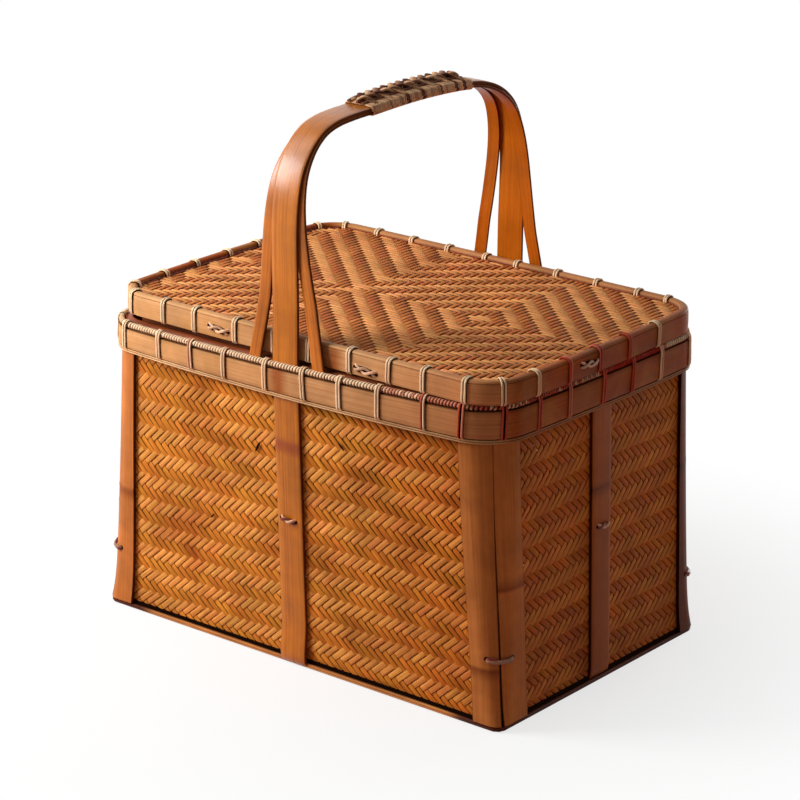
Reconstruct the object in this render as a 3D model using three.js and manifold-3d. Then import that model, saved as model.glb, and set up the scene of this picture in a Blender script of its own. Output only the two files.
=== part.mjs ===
// Lidded bamboo basket with a fixed arch handle and a lift-off lid.
// Millimetres, +Z up, origin under the middle of the base, long front face towards -Y.
import * as THREE from "three";
import { mergeVertices } from "three/addons/utils/BufferGeometryUtils.js";
import Module from "manifold-3d";

const wasm = await Module();
wasm.setup();

// Clearances
const GAP = 0.3; // between pieces that touch in the real basket
const LID_PLAY = 2.3; // all round between the lid's locating hoop and the inner rim hoop

// Body: straight and squared at the base, bowed and rounded at the rim
const BASE = { halfX: 173.8, halfY: 112.1, radius: 10, bowX: 0, bowY: 0 };
const RIM = { halfX: 164.6, halfY: 113.3, radius: 24, bowX: 2.7, bowY: 9 };
const BODY_TOP = 217.5;
const WEAVE = 2.2; // thickness of the woven wall
const FLOOR_Z = 2.7;
const FLOOR = 3;

// Slats that hold the body
const SLAT = 2.4; // thickness
const CENTRE_SLAT_W = 22;
const CORNER_SLAT_W = 20;
const NEAR_CORNER_SLAT_W = 24;
const SLAT_TOP = 216.8;
const CORNER_FOLD = 7;
const SIDE_FOLD = 60;
const EDGE_STRIP = { thick: 2, z0: 3.1, z1: 9 };

// Rim
const HOOP = 2.4;
const HOOP_Z0 = 199.7;
const HOOP_Z1 = 218.2;
const SLOT = SLAT + 2 * GAP; // between the wall and the outer hoop
const RIM_EDGE = { half: 5.2, z0: 218.5, z1: 223.1 };
const BINDING = 1.3; // thickness of a rattan strap
const STRAP_W = 3.4;
const STRAP_PITCH = { long: 32.7, short: 34 };
const LOWER_STRIP = { z0: 196.3, z1: 199.3 };

// Lid
const LID = { halfX: 167, halfY: 118.4, radius: 28, bowX: 3.4, bowY: 1.2 };
const LID_X = 1;
const LID_Z0 = RIM_EDGE.z1 + GAP;
const LID_Z1 = 237.6;
const LID_PANEL = { z0: 233.2, z1: 235.4, flange: 2 };
const LID_FILLER_TOP = 240;
const LOCATOR_IN = WEAVE + GAP + HOOP + LID_PLAY; // from the wall's outer face
const LOCATOR = {
  halfX: RIM.halfX - LOCATOR_IN,
  halfY: RIM.halfY - LOCATOR_IN,
  radius: RIM.radius - LOCATOR_IN + 2.2,
  bowX: 1,
  bowY: 4.6,
};

// Handle: the main strip's middle surface, from the rim to the top, y outwards
const STRIP = 2.4;
const BRACE = { width: 10.2, thick: 2.2 };
const ARCH = [
  [123.8, 264], [124.6, 300], [123.8, 316], [121, 331], [116.6, 344.5], [110.3, 356.5],
  [101.5, 365.6], [90, 372.6], [74, 378], [56, 380.6], [30, 382.2], [0, 382.7],
];
const GRIP = { y0: -59, y1: 65, loops: 16, strandW: 7, strandT: 1.4 };
const RIDGE = { width: 9, height: 4.6 };

const TIE_R = 1.3;

// Colours
const bamboo = { gold: 0xb4702e, slat: 0xb0713c, hoop: 0xa8714a, dark: 0x7d4a26, pale: 0xc99a63 };
const rattan = { cream: 0xd9b98a, red: 0x8e3b22, brown: 0x7a4a2c };

const lerp = (a, b, t) => a + (b - a) * t;
const clamp = (v, lo, hi) => Math.min(hi, Math.max(lo, v));

// The wall's outer plan at height z.
function wallPlan(z) {
  const t = clamp((z - FLOOR_Z) / (BODY_TOP - FLOOR_Z), 0, 1);
  const plan = {};
  for (const k of Object.keys(BASE)) plan[k] = lerp(BASE[k], RIM[k], t);
  plan.radius = lerp(BASE.radius, RIM.radius, Math.sqrt(t));
  return plan;
}

// Bows the sides of a rounded rectangle outwards.
function bow(plan, x, y) {
  const fx = Math.max(0, 1 - (x / plan.halfX) ** 2);
  const fy = Math.max(0, 1 - (y / plan.halfY) ** 2);
  return [
    x + (plan.bowX * fy * x) / plan.halfX,
    y + (plan.bowY * fx * y) / plan.halfY,
  ];
}

// A point near the corner (sx, sy): turn from its diagonal (radians, + towards the side face,
// - towards the front or back face), then run along that face.
function cornerPoint(plan, sx, sy, turn, run, offset) {
  const r = plan.radius + offset;
  const a = Math.PI / 4 - turn;
  let x = plan.halfX - plan.radius + r * Math.cos(a);
  let y = plan.halfY - plan.radius + r * Math.sin(a);
  if (turn > 0) y -= run;
  else x -= run;
  return bow(plan, sx * x, sy * y);
}

// Points round the whole plan, counter-clockwise.
const CORNER_STEPS = 6;
function ringPoints(plan, offset) {
  const points = [];
  for (const [sx, sy] of [[1, -1], [1, 1], [-1, 1], [-1, -1]]) {
    const toSide = sx * sy < 0; // this corner leads on to a short side, the next to a long one
    const end = (toSide ? 1 : -1) * (Math.PI / 4);
    for (let i = 0; i <= CORNER_STEPS; i++)
      points.push(cornerPoint(plan, sx, sy, lerp(-end, end, i / CORNER_STEPS), 0, offset));
    const steps = toSide ? 4 : 8;
    const reach = 2 * ((toSide ? plan.halfY : plan.halfX) - plan.radius);
    for (let i = 1; i < steps; i++)
      points.push(cornerPoint(plan, sx, sy, end, (i / steps) * reach, offset));
  }
  return points;
}

const loopAt = (plan, offset, z, dx = 0) =>
  ringPoints(plan, offset).map(([x, y]) => new THREE.Vector3(x + dx, y, z));

// A closed surface through a stack of equal loops. The ends are closed by strips between
// point i and point n-1-i, or the stack closes on itself.
function skin(loops, cyclic = false) {
  const n = loops[0].length;
  const position = loops.flat().flatMap((p) => [p.x, p.y, p.z]);
  const index = [];
  const quad = (a, b, c, d) => index.push(a, b, c, a, c, d);
  const last = cyclic ? loops.length : loops.length - 1;
  for (let k = 0; k < last; k++) {
    const a = k * n;
    const b = ((k + 1) % loops.length) * n;
    for (let i = 0; i < n; i++) {
      const j = (i + 1) % n;
      quad(a + i, a + j, b + j, b + i);
    }
  }
  if (!cyclic) {
    const end = (loops.length - 1) * n;
    for (let i = 0; i < n / 2 - 1; i++) {
      const j = n - 1 - i;
      quad(i, j, j - 1, i + 1);
      quad(end + i, end + i + 1, end + j - 1, end + j);
    }
  }
  const made = new THREE.BufferGeometry();
  made.setAttribute("position", new THREE.Float32BufferAttribute(position, 3));
  made.setIndex(signedVolume(position, index) < 0 ? index.reverse() : index);
  return made;
}

function signedVolume(p, index) {
  let sum = 0;
  const v = (i) => new THREE.Vector3(p[3 * i], p[3 * i + 1], p[3 * i + 2]);
  for (let i = 0; i < index.length; i += 3)
    sum += v(index[i]).dot(v(index[i + 1]).cross(v(index[i + 2])));
  return sum / 6;
}

// A hoop: profile points [offset, z] carried round the plan.
function hoop(planAt, profile, dx = 0) {
  return skin(profile.map(([offset, z]) => loopAt(planAt(z), offset, z, dx)), true);
}

const oval = (centre, z0, z1, half, sides = 8) =>
  Array.from({ length: sides }, (_, i) => {
    const a = ((i + 0.5) / sides) * 2 * Math.PI;
    return [centre + half * Math.cos(a), (z0 + z1) / 2 + ((z1 - z0) / 2) * Math.sin(a)];
  });

function solidOf(geometry) {
  const g = geometry.clone();
  for (const name of Object.keys(g.attributes)) if (name !== "position") g.deleteAttribute(name);
  const merged = mergeVertices(g, 1e-3);
  return new wasm.Manifold(
    new wasm.Mesh({
      numProp: 3,
      vertProperties: merged.attributes.position.array,
      triVerts: new Uint32Array(merged.index.array),
    }),
  );
}

function geometryOf(solid) {
  const mesh = solid.getMesh();
  const g = new THREE.BufferGeometry();
  const p = new Float32Array(mesh.numVert * 3);
  for (let i = 0; i < mesh.numVert; i++)
    p.set(mesh.vertProperties.subarray(i * mesh.numProp, i * mesh.numProp + 3), i * 3);
  g.setAttribute("position", new THREE.BufferAttribute(p, 3));
  g.setIndex(new THREE.BufferAttribute(mesh.triVerts, 1));
  return g;
}

const basket = new THREE.Group();
basket.name = "bamboo_basket";
function add(name, geometry, color, roughness = 0.5) {
  const flat = geometry.index ? geometry.toNonIndexed() : geometry;
  flat.computeVertexNormals();
  const material = new THREE.MeshStandardMaterial({ color, roughness, metalness: 0 });
  const mesh = new THREE.Mesh(flat, material);
  mesh.name = name;
  basket.add(mesh);
}

// Woven body: outside from the floor up, over the top edge, inside down to the floor.
const levels = [0, 0.06, 0.2, 0.4, 0.6, 0.8, 1];
const wallZ = levels.map((t) => lerp(FLOOR_Z, BODY_TOP, t));
add(
  "woven_body",
  skin([
    ...wallZ.map((z) => loopAt(wallPlan(z), 0, z)),
    ...wallZ
      .slice()
      .reverse()
      .map((z) => Math.max(z, FLOOR_Z + FLOOR))
      .map((z) => loopAt(wallPlan(z), -WEAVE, z)),
  ]),
  bamboo.gold,
  0.55,
);

// Rim hoops either side of the wall
const rect = (o0, o1, z0, z1) => [[o0, z0], [o1, z0], [o1, z1], [o0, z1]];
const hoopOut = SLOT + HOOP;
add("outer_rim_hoop", hoop(wallPlan, rect(SLOT, hoopOut, HOOP_Z0, HOOP_Z1)), bamboo.hoop, 0.4);
add(
  "inner_rim_hoop",
  hoop(wallPlan, rect(-WEAVE - GAP - HOOP, -WEAVE - GAP, HOOP_Z0 + 1, HOOP_Z1)),
  bamboo.dark,
);
add(
  "rim_lower_strip",
  hoop(wallPlan, [
    [SLOT, LOWER_STRIP.z0],
    [hoopOut - 0.4, LOWER_STRIP.z0 + 0.5],
    [hoopOut, LOWER_STRIP.z1],
    [SLOT, LOWER_STRIP.z1],
  ]),
  bamboo.pale,
);

// Slats held in the slot between the wall and the hoop. Each row is a pair of
// [offset, z]: the face against the wall, then the outer face.
function slatRows(fold) {
  const stand = (z) => GAP + (EDGE_STRIP.thick + GAP) * clamp((30 - z) / 20, 0, 1);
  const rows = [SLAT_TOP, 196, 155, 115, 75, 45, 30, 20, 10, 5.2].map((z) => [
    [stand(z), z],
    [stand(z) + SLAT, z],
  ]);
  const s = stand(0);
  rows.push([[s, SLAT + 0.3], [s + SLAT * 0.75, SLAT * 0.3]]);
  rows.push([[s - 1.6, SLAT], [s - 0.4, 0]]);
  rows.push([[-fold, SLAT], [-fold, 0]]);
  return rows;
}

// A half-slat of a corner pair, from the seam on the diagonal round to its own face.
function cornerSlat(sx, sy, towardsSide, width) {
  const columns = width > CORNER_SLAT_W ? 5 : 4;
  const way = towardsSide ? 1 : -1;
  const loops = slatRows(CORNER_FOLD).map((pair) => {
    const plan = wallPlan(pair[0][1]);
    const side = pair.map(([offset, z]) =>
      Array.from({ length: columns + 1 }, (_, i) => {
        const s = 0.45 + (i / columns) * (width - 0.45);
        const turn = Math.min(s / plan.radius, Math.PI / 4);
        const run = Math.max(0, s - (plan.radius * Math.PI) / 4);
        const [x, y] = cornerPoint(plan, sx, sy, way * turn, run, offset);
        return new THREE.Vector3(x, y, z);
      }),
    );
    return [...side[1], ...side[0].reverse()];
  });
  return skin(loops);
}

const corners = { front_left: [-1, -1], front_right: [1, -1], back_right: [1, 1], back_left: [-1, 1] };
for (const [name, [sx, sy]] of Object.entries(corners)) {
  const width = name === "front_right" ? NEAR_CORNER_SLAT_W : CORNER_SLAT_W;
  const face = sy < 0 ? "front" : "back";
  add(`corner_${name}_slat_${face}`, cornerSlat(sx, sy, false, width), bamboo.slat, 0.45);
  add(`corner_${name}_slat_side`, cornerSlat(sx, sy, true, width), bamboo.slat, 0.45);
}

// Centre slats of the two short sides, folded in under the floor
for (const [name, sx] of [["left_centre_slat", -1], ["right_centre_slat", 1]]) {
  const loops = slatRows(SIDE_FOLD).map((pair) => {
    const plan = wallPlan(pair[0][1]);
    const at = ([offset, z], y) =>
      new THREE.Vector3(sx * (plan.halfX + plan.bowX + offset), y, z);
    const w = CENTRE_SLAT_W / 2;
    return [at(pair[1], -w), at(pair[1], w), at(pair[0], w), at(pair[0], -w)];
  });
  add(name, skin(loops), bamboo.slat, 0.45);
}

// Strips along the bottom edge of the four walls, behind the slats
const stripEnd = BASE.radius + 2;
const base = wallPlan(EDGE_STRIP.z0);
for (const [name, sx, sy] of [["front", 0, -1], ["back", 0, 1], ["left", -1, 0], ["right", 1, 0]]) {
  const long = sx === 0;
  const half = (long ? base.halfX : base.halfY) - stripEnd;
  const rise = EDGE_STRIP.z1 - EDGE_STRIP.z0;
  const out = (long ? base.halfY : base.halfX) + base[long ? "bowY" : "bowX"] + GAP + 0.35;
  const box = new THREE.BoxGeometry(
    long ? 2 * half : EDGE_STRIP.thick - 0.35,
    long ? EDGE_STRIP.thick - 0.35 : 2 * half,
    rise,
  );
  const mid = out + (EDGE_STRIP.thick - 0.35) / 2;
  box.translate(sx * mid, sy * mid, EDGE_STRIP.z0 + rise / 2);
  add(`base_edge_strip_${name}`, box, bamboo.dark);
}

// Two battens under the floor, level with the folded slats
for (const [name, sx] of [["base_batten_left", -1], ["base_batten_right", 1]]) {
  const box = new THREE.BoxGeometry(CENTRE_SLAT_W, 2 * (BASE.halfY - 6), SLAT);
  box.translate(sx * 72, 0, SLAT / 2);
  add(name, box, bamboo.slat, 0.5);
}

// Handle. The arch is one curve in the YZ plane; each piece is a strip laid along it.
const arch = (() => {
  const back = ARCH.map(([y, z]) => new THREE.Vector3(0, y, z));
  const front = ARCH.slice(0, -1).map(([y, z]) => new THREE.Vector3(0, -y, z));
  return new THREE.CatmullRomCurve3([...front, ...back.reverse()], false, "centripetal");
})();

// Middle surface of the main strip where it runs down the wall at x = 0
function wallStripPath() {
  return slatRows(0)
    .slice(0, -1)
    .map(([inner, outer]) => {
      const plan = wallPlan(inner[1]);
      const y = plan.halfY + plan.bowY;
      return [inner, outer].map(([offset, z]) => [y + offset * (1 + plan.bowY / plan.halfY), z]);
    });
}

// Strip sections as pairs of [y, z]: inner face, outer face
function archPairs(steps, inset = 0, thick = STRIP) {
  const pairs = [];
  for (let i = 0; i <= steps; i++) {
    const p = arch.getPointAt(i / steps);
    const t = arch.getTangentAt(i / steps);
    const out = new THREE.Vector2(-t.z, t.y); // away from the inside of the arch
    const face = (d) => [p.y + out.x * d, p.z + out.y * d];
    pairs.push([face(-thick / 2 - inset), face(thick / 2 - inset)]);
  }
  return pairs;
}

const down = wallStripPath();
const mirrorY = (pairs) => pairs.map((pair) => pair.map(([y, z]) => [-y, z]));
const under = [[[0.6, SLAT], [0.6, 0]]];
const mainPairs = [
  ...mirrorY(under),
  ...mirrorY(down).reverse(),
  ...archPairs(46),
  ...down,
  ...under,
];
const stripSection = (pair, x0, x1) => [
  new THREE.Vector3(x0, pair[1][0], pair[1][1]),
  new THREE.Vector3(x1, pair[1][0], pair[1][1]),
  new THREE.Vector3(x1, pair[0][0], pair[0][1]),
  new THREE.Vector3(x0, pair[0][0], pair[0][1]),
];
const halfW = CENTRE_SLAT_W / 2;
add(
  "handle_main_strip",
  skin(mainPairs.map((pair) => stripSection(pair, -halfW, halfW))),
  bamboo.gold,
  0.35,
);

// The two braces lie under the main strip at the top and spread to the rim beside it.
// Each pair is a height and the x of the brace's middle there.
const BRACE_X = {
  left: [[196, -29.5], [218, -27], [262, -19.6], [300, -16.2], [331, -13.6], [357, -10], [372, -6]],
  right: [[196, 28], [218, 25], [262, 17.6], [300, 12], [331, 8.9], [357, 7], [372, 5.9]],
};
function along(table, z) {
  let k = 0;
  while (k < table.length - 2 && z > table[k + 1][0]) k++;
  const [z0, x0] = table[k];
  const [z1, x1] = table[k + 1];
  return lerp(x0, x1, clamp((z - z0) / (z1 - z0), 0, 1));
}
function braceLoops(table) {
  const section = (pair, z) => {
    const x = along(table, z);
    return stripSection(pair, x - BRACE.width / 2, x + BRACE.width / 2);
  };
  const slot = (s) => (z) => {
    const plan = wallPlan(z);
    const mid = plan.halfY + plan.bowY + (GAP + SLAT / 2) * (1 + plan.bowY / plan.halfY);
    return section([[s * (mid - BRACE.thick / 2), z], [s * (mid + BRACE.thick / 2), z]], z);
  };
  const low = [199, 208, 217];
  return [
    ...low.map(slot(-1)),
    ...archPairs(40, STRIP / 2 + GAP + BRACE.thick / 2, BRACE.thick).map((pair) =>
      section(pair, (pair[0][1] + pair[1][1]) / 2),
    ),
    ...low.reverse().map(slot(1)),
  ];
}
for (const [side, table] of Object.entries(BRACE_X))
  add(`handle_${side}_brace`, skin(braceLoops(table)), bamboo.gold, 0.4);

// Rattan winding of the grip: one strand round the main strip and both braces
function gripWinding() {
  const stepsPerLoop = 24;
  const total = GRIP.loops * stepsPerLoop;
  const n = 4000;
  const ys = Array.from({ length: n + 1 }, (_, i) => arch.getPointAt(i / n).y);
  const at = (y) => ys.findIndex((v) => v >= y) / n;
  const u0 = at(GRIP.y0);
  const u1 = at(GRIP.y1);
  const lift = GRIP.strandT / 2 + 0.5;
  const top = STRIP / 2 + lift;
  const bottom = -(STRIP / 2 + GAP + BRACE.thick) - lift;
  const side = halfW + 0.4 + lift;
  const hv = (top - bottom) / 2;
  const mid = (top + bottom) / 2;
  const loops = [];
  for (let i = 0; i <= total; i++) {
    const u = lerp(u0, u1, i / total);
    const p = arch.getPointAt(u);
    const t = arch.getTangentAt(u);
    const out = new THREE.Vector3(0, -t.z, t.y);
    const a = (i / stepsPerLoop) * 2 * Math.PI;
    const c = Math.cos(a);
    const s = Math.sin(a);
    // a rounded box path: steep powers keep the strand clear of the strips' edges
    const power = 8;
    const k = (Math.abs(c) ** power + Math.abs(s) ** power) ** (-1 / power);
    const centre = p
      .clone()
      .add(new THREE.Vector3(side * c * k, 0, 0))
      .addScaledVector(out, mid + hv * s * k);
    const normal = new THREE.Vector3((c * Math.abs(c) ** 3) / side, 0, 0)
      .addScaledVector(out, (s * Math.abs(s) ** 3) / hv)
      .normalize();
    loops.push(
      Array.from({ length: 6 }, (_, j) => {
        const b = (j / 6) * 2 * Math.PI;
        return centre
          .clone()
          .addScaledVector(t, (GRIP.strandW / 2) * Math.cos(b))
          .addScaledVector(normal, (GRIP.strandT / 2) * Math.sin(b));
      }),
    );
  }
  // least gap between one loop and the next, measured between their sections
  let gap = Infinity;
  for (let i = 0; i + stepsPerLoop <= total; i++)
    for (const p of loops[i])
      for (const q of loops[i + stepsPerLoop]) gap = Math.min(gap, p.distanceTo(q));
  console.log("grip winding: least gap to itself " + gap.toFixed(2) + " mm");
  if (gap <= 0.4) throw new Error("grip winding touches itself");
  return skin(loops);
}
add("grip_winding", gripWinding(), rattan.cream, 0.55);

// Braided ridge along the top of the grip
function gripRidge() {
  const loops = [];
  const steps = 14;
  const lift = STRIP / 2 + 0.35 + GRIP.strandT + 0.6;
  for (let i = 0; i <= steps; i++) {
    const y = lerp(GRIP.y0 + 3, GRIP.y1 - 3, i / steps);
    let u = 0.5;
    for (let k = 0; k < 20; k++) u -= (arch.getPointAt(u).y - y) / arch.getLength();
    const p = arch.getPointAt(u);
    const t = arch.getTangentAt(u);
    const out = new THREE.Vector3(0, -t.z, t.y);
    const ends = i === 0 || i === steps ? 0.6 : 1;
    const profile = [[-1, 0], [-0.75, 0.7], [-0.3, 1], [0.3, 1], [0.75, 0.7], [1, 0]];
    loops.push(
      profile.map(([a, b]) =>
        p
          .clone()
          .add(new THREE.Vector3(((a * RIDGE.width) / 2) * ends, 0, 0))
          .addScaledVector(out, lift + b * RIDGE.height * ends),
      ),
    );
  }
  return skin(loops);
}
add("grip_braid_ridge", gripRidge(), rattan.brown, 0.6);

// A strap: a bent bar given by an outer and an inner path of [offset, z], laid across the plan
// at a point of it and as wide as a pair of rattan strands.
function strap(planAt, place, outerPath, innerPath, dx = 0) {
  const loops = [-STRAP_W / 2, STRAP_W / 2].map((shift) => {
    const at = ([offset, z]) => {
      const [x, y] = place(planAt(z), shift, offset);
      return new THREE.Vector3(x + dx, y, z);
    };
    return [...outerPath.map(at), ...innerPath.slice().reverse().map(at)];
  });
  return solidOf(skin(loops));
}
// A place on a long or a short side, given by its distance from the middle of that side. Past
// the straight part it carries on round the corner.
const onSide = (isLong, side, distance) => (plan, shift, offset) => {
  const c = distance + shift;
  const end = Math.sign(distance);
  const over = Math.abs(c) - ((isLong ? plan.halfX : plan.halfY) - plan.radius);
  if (over <= 0)
    return isLong
      ? bow(plan, c, side * (plan.halfY + offset))
      : bow(plan, side * (plan.halfX + offset), c);
  const turn = Math.PI / 4 - over / (plan.radius + SLOT);
  return isLong
    ? cornerPoint(plan, end, side, -turn, 0, offset)
    : cornerPoint(plan, side, end, turn, 0, offset);
};

// Positions of the straps: at an even pitch along each side, leaving out those by the handle
function strapPlaces(longCount, shortCount, clear) {
  const places = [];
  const spread = (pitch, count) =>
    Array.from({ length: count }, (_, i) => (i - (count - 1) / 2) * pitch);
  for (const s of [-1, 1]) {
    for (const x of spread(STRAP_PITCH.long, longCount))
      if (Math.abs(x) > clear) places.push(onSide(true, s, x));
    for (const y of spread(STRAP_PITCH.short, shortCount)) places.push(onSide(false, s, y));
  }
  return places;
}

// Rim binding: the wound edge and the straps that hold the hoop and the strip below it
function rimBinding() {
  let made = solidOf(hoop(wallPlan, oval(0.1, RIM_EDGE.z0, RIM_EDGE.z1, RIM_EDGE.half)));
  const face = hoopOut + 0.55 + GAP;
  const low = LOWER_STRIP.z0 - GAP;
  const top = HOOP_Z1 + GAP;
  for (const place of strapPlaces(10, 7, 0))
    made = made.add(
      strap(
        wallPlan,
        place,
        [[SLOT + 0.2, low - BINDING], [face + BINDING, low - BINDING], [face + BINDING, 219.6], [2.5, 221.4]],
        [[SLOT + 0.2, low], [face, low], [face, top], [2.5, top + 0.3]],
      ),
    );
  // openings for the handle strips, which come up through the edge
  const cut = (x0, x1, s) => {
    const y0 = RIM.halfY + RIM.bowY - 0.8;
    const y1 = RIM.halfY + RIM.bowY + SLOT + 0.6;
    const box = new THREE.BoxGeometry(x1 - x0, y1 - y0, 12);
    box.translate((x0 + x1) / 2, (s * (y0 + y1)) / 2, 222);
    made = made.subtract(solidOf(box));
  };
  for (const s of [-1, 1]) {
    cut(-halfW - 0.5, halfW + 0.5, s);
    for (const table of Object.values(BRACE_X)) {
      const a = along(table, 216);
      const b = along(table, 226);
      const w = BRACE.width / 2 + 0.5;
      cut(Math.min(a, b) - w, Math.max(a, b) + w, s);
    }
  }
  return geometryOf(made);
}
add("rim_rattan_binding", rimBinding(), rattan.cream, 0.55);

// Lid
const lidPlan = () => LID;
const lidInner = HOOP + GAP;
const lidBend = lidInner + LID_PANEL.flange;
add(
  "lid_outer_hoop",
  hoop(
    lidPlan,
    [[-HOOP, LID_Z0], [0, LID_Z0], [0, LID_Z1 - 1.4], [-1.2, LID_Z1], [-HOOP, LID_Z1]],
    LID_X,
  ),
  bamboo.hoop,
  0.4,
);
add(
  "lid_panel",
  skin([
    loopAt(LID, -lidInner, LID_PANEL.z1, LID_X),
    loopAt(LID, -lidInner, LID_Z0 + 0.6, LID_X),
    loopAt(LID, -lidBend, LID_Z0 + 0.6, LID_X),
    loopAt(LID, -lidBend, LID_PANEL.z0, LID_X),
  ]),
  bamboo.gold,
  0.6,
);
add(
  "lid_inner_hoop",
  hoop(
    lidPlan,
    rect(-lidBend - GAP - 2.2, -lidBend - GAP, LID_Z0 + 0.6, LID_PANEL.z0 - GAP),
    LID_X,
  ),
  bamboo.dark,
);
add(
  "lid_locating_hoop",
  hoop(() => LOCATOR, rect(-HOOP, 0, 213, LID_PANEL.z0 - GAP)),
  bamboo.dark,
);
const fillerIn = -8.2;
add(
  "lid_edge_filler",
  hoop(
    lidPlan,
    [
      [fillerIn, LID_PANEL.z1 + GAP],
      [-lidInner, LID_PANEL.z1 + GAP],
      [-lidInner, LID_Z1 + GAP],
      [-0.4, LID_Z1 + GAP],
      [-0.4, LID_FILLER_TOP - 1],
      [-1.6, LID_FILLER_TOP],
      [-6.6, LID_FILLER_TOP],
      [fillerIn, LID_FILLER_TOP - 1.4],
    ],
    LID_X,
  ),
  bamboo.slat,
);

// Lid binding: straps over the edge, joined by the strand that runs inside the filler
function lidBinding() {
  const low = LID_PANEL.z1 + GAP;
  const over = LID_FILLER_TOP + GAP;
  let made = solidOf(hoop(lidPlan, oval(fillerIn - 1.2, low, low + 1.8, 0.9, 6), LID_X));
  for (const place of strapPlaces(10, 7, 34))
    made = made.add(
      strap(
        lidPlan,
        place,
        [
          [fillerIn - GAP - BINDING, low + 0.2],
          [fillerIn - GAP - BINDING, over + BINDING],
          [GAP + BINDING, over + BINDING],
          [GAP + BINDING, LID_Z0 + 0.6],
        ],
        [
          [fillerIn - GAP, low + 0.2],
          [fillerIn - GAP, over],
          [GAP, over],
          [GAP, LID_Z0 + 0.6],
        ],
        LID_X,
      ),
    );
  return geometryOf(made);
}
add("lid_rattan_binding", lidBinding(), rattan.cream, 0.55);

// Battens under the lid panel, inside the locating hoop
for (const [name, x] of [["lid_batten_left", -85], ["lid_batten_centre", 0], ["lid_batten_right", 85]]) {
  const length = 2 * (LOCATOR.halfY - HOOP - 1.5);
  const box = new THREE.BoxGeometry(14, length, 2);
  box.translate(x + LID_X, 0, LID_PANEL.z0 - GAP - 1);
  add(name, box, bamboo.slat);
}

// Ties: short twisted stitches that stand proud of the slats and the lid band
function tie(points, name, color = rattan.brown) {
  const curve = new THREE.CatmullRomCurve3(points);
  const section = new THREE.Shape();
  section.absarc(0, 0, TIE_R, 0, 2 * Math.PI);
  const geometry = new THREE.ExtrudeGeometry(section, {
    steps: 6,
    curveSegments: 4,
    bevelEnabled: false,
    extrudePath: curve,
  });
  add(name, geometry, color, 0.6);
}
const proud = SLAT + 2 * GAP + TIE_R + 0.1; // middle of a tie, out from the wall
for (const [name, [sx, sy]] of Object.entries(corners)) {
  const z = name === "front_right" ? 52 : 45;
  const plan = wallPlan(z);
  const reach = 9 / plan.radius;
  const points = [-1, -0.5, 0, 0.5, 1].map((f) => {
    const lift = proud + 1.1 * (1 - f * f);
    const [x, y] = cornerPoint(plan, sx, sy, f * reach, 0, lift);
    return new THREE.Vector3(x, y, z + 1.5 * f);
  });
  tie(points, `corner_${name}_tie`, rattan.red);
}
for (const [name, s] of [["front", -1], ["back", 1]]) {
  const z = 108;
  const plan = wallPlan(z);
  const y = plan.halfY + plan.bowY + proud + 0.3;
  const points = [-5, 0, 5].map((x) => new THREE.Vector3(x, s * (y + 1 - (x * x) / 30), z - x * 0.2));
  tie(points, `${name}_centre_tie`);
}
for (const [name, s] of [["left", -1], ["right", 1]]) {
  const z = 112;
  const plan = wallPlan(z);
  const x = plan.halfX + plan.bowX + proud + 0.1;
  const points = [-5, 0, 5].map((y) => new THREE.Vector3(s * (x + 1 - (y * y) / 30), y, z - y * 0.2));
  tie(points, `${name}_centre_tie`);
}
const lidTieZ = 230;
for (const [name, x] of [["lid_front_left_tie", -67], ["lid_front_right_tie", 61]]) {
  const points = [-5, 0, 5].map((d) => {
    const [px, py] = bow(LID, x + d, -(LID.halfY + GAP + TIE_R + 0.1));
    return new THREE.Vector3(px + LID_X, py - 0.6 * (1 - (d * d) / 25), lidTieZ + d * 0.2);
  });
  tie(points, name);
}
tie(
  [-5, 0, 5].map((d) => {
    const [px, py] = bow(LID, LID.halfX + GAP + TIE_R + 0.1, d - 17);
    return new THREE.Vector3(px + LID_X + 0.8 * (1 - (d * d) / 25), py, lidTieZ - d * 0.2);
  }),
  "lid_right_tie",
);

export default basket;
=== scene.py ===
import math

import bpy
import numpy as np
from mathutils import Matrix, Vector


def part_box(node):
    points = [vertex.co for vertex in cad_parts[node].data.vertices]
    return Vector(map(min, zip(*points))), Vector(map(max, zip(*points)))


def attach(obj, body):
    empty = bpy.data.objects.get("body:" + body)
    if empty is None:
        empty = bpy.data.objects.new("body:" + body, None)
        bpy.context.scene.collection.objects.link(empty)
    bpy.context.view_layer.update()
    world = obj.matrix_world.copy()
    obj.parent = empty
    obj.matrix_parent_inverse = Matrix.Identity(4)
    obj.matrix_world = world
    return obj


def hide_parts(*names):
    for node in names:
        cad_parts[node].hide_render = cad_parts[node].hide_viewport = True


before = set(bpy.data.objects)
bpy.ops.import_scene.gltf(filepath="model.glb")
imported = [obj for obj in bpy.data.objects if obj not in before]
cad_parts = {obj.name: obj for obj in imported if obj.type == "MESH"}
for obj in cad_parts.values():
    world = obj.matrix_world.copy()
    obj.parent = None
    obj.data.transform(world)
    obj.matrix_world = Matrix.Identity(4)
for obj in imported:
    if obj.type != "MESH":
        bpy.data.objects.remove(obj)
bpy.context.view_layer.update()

# Lidded bamboo basket. Lengths are millimetres in the frame's axes until a mesh is made.
METRE = 0.001
TURN = 2 * math.pi
rng = np.random.default_rng(11)

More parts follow.
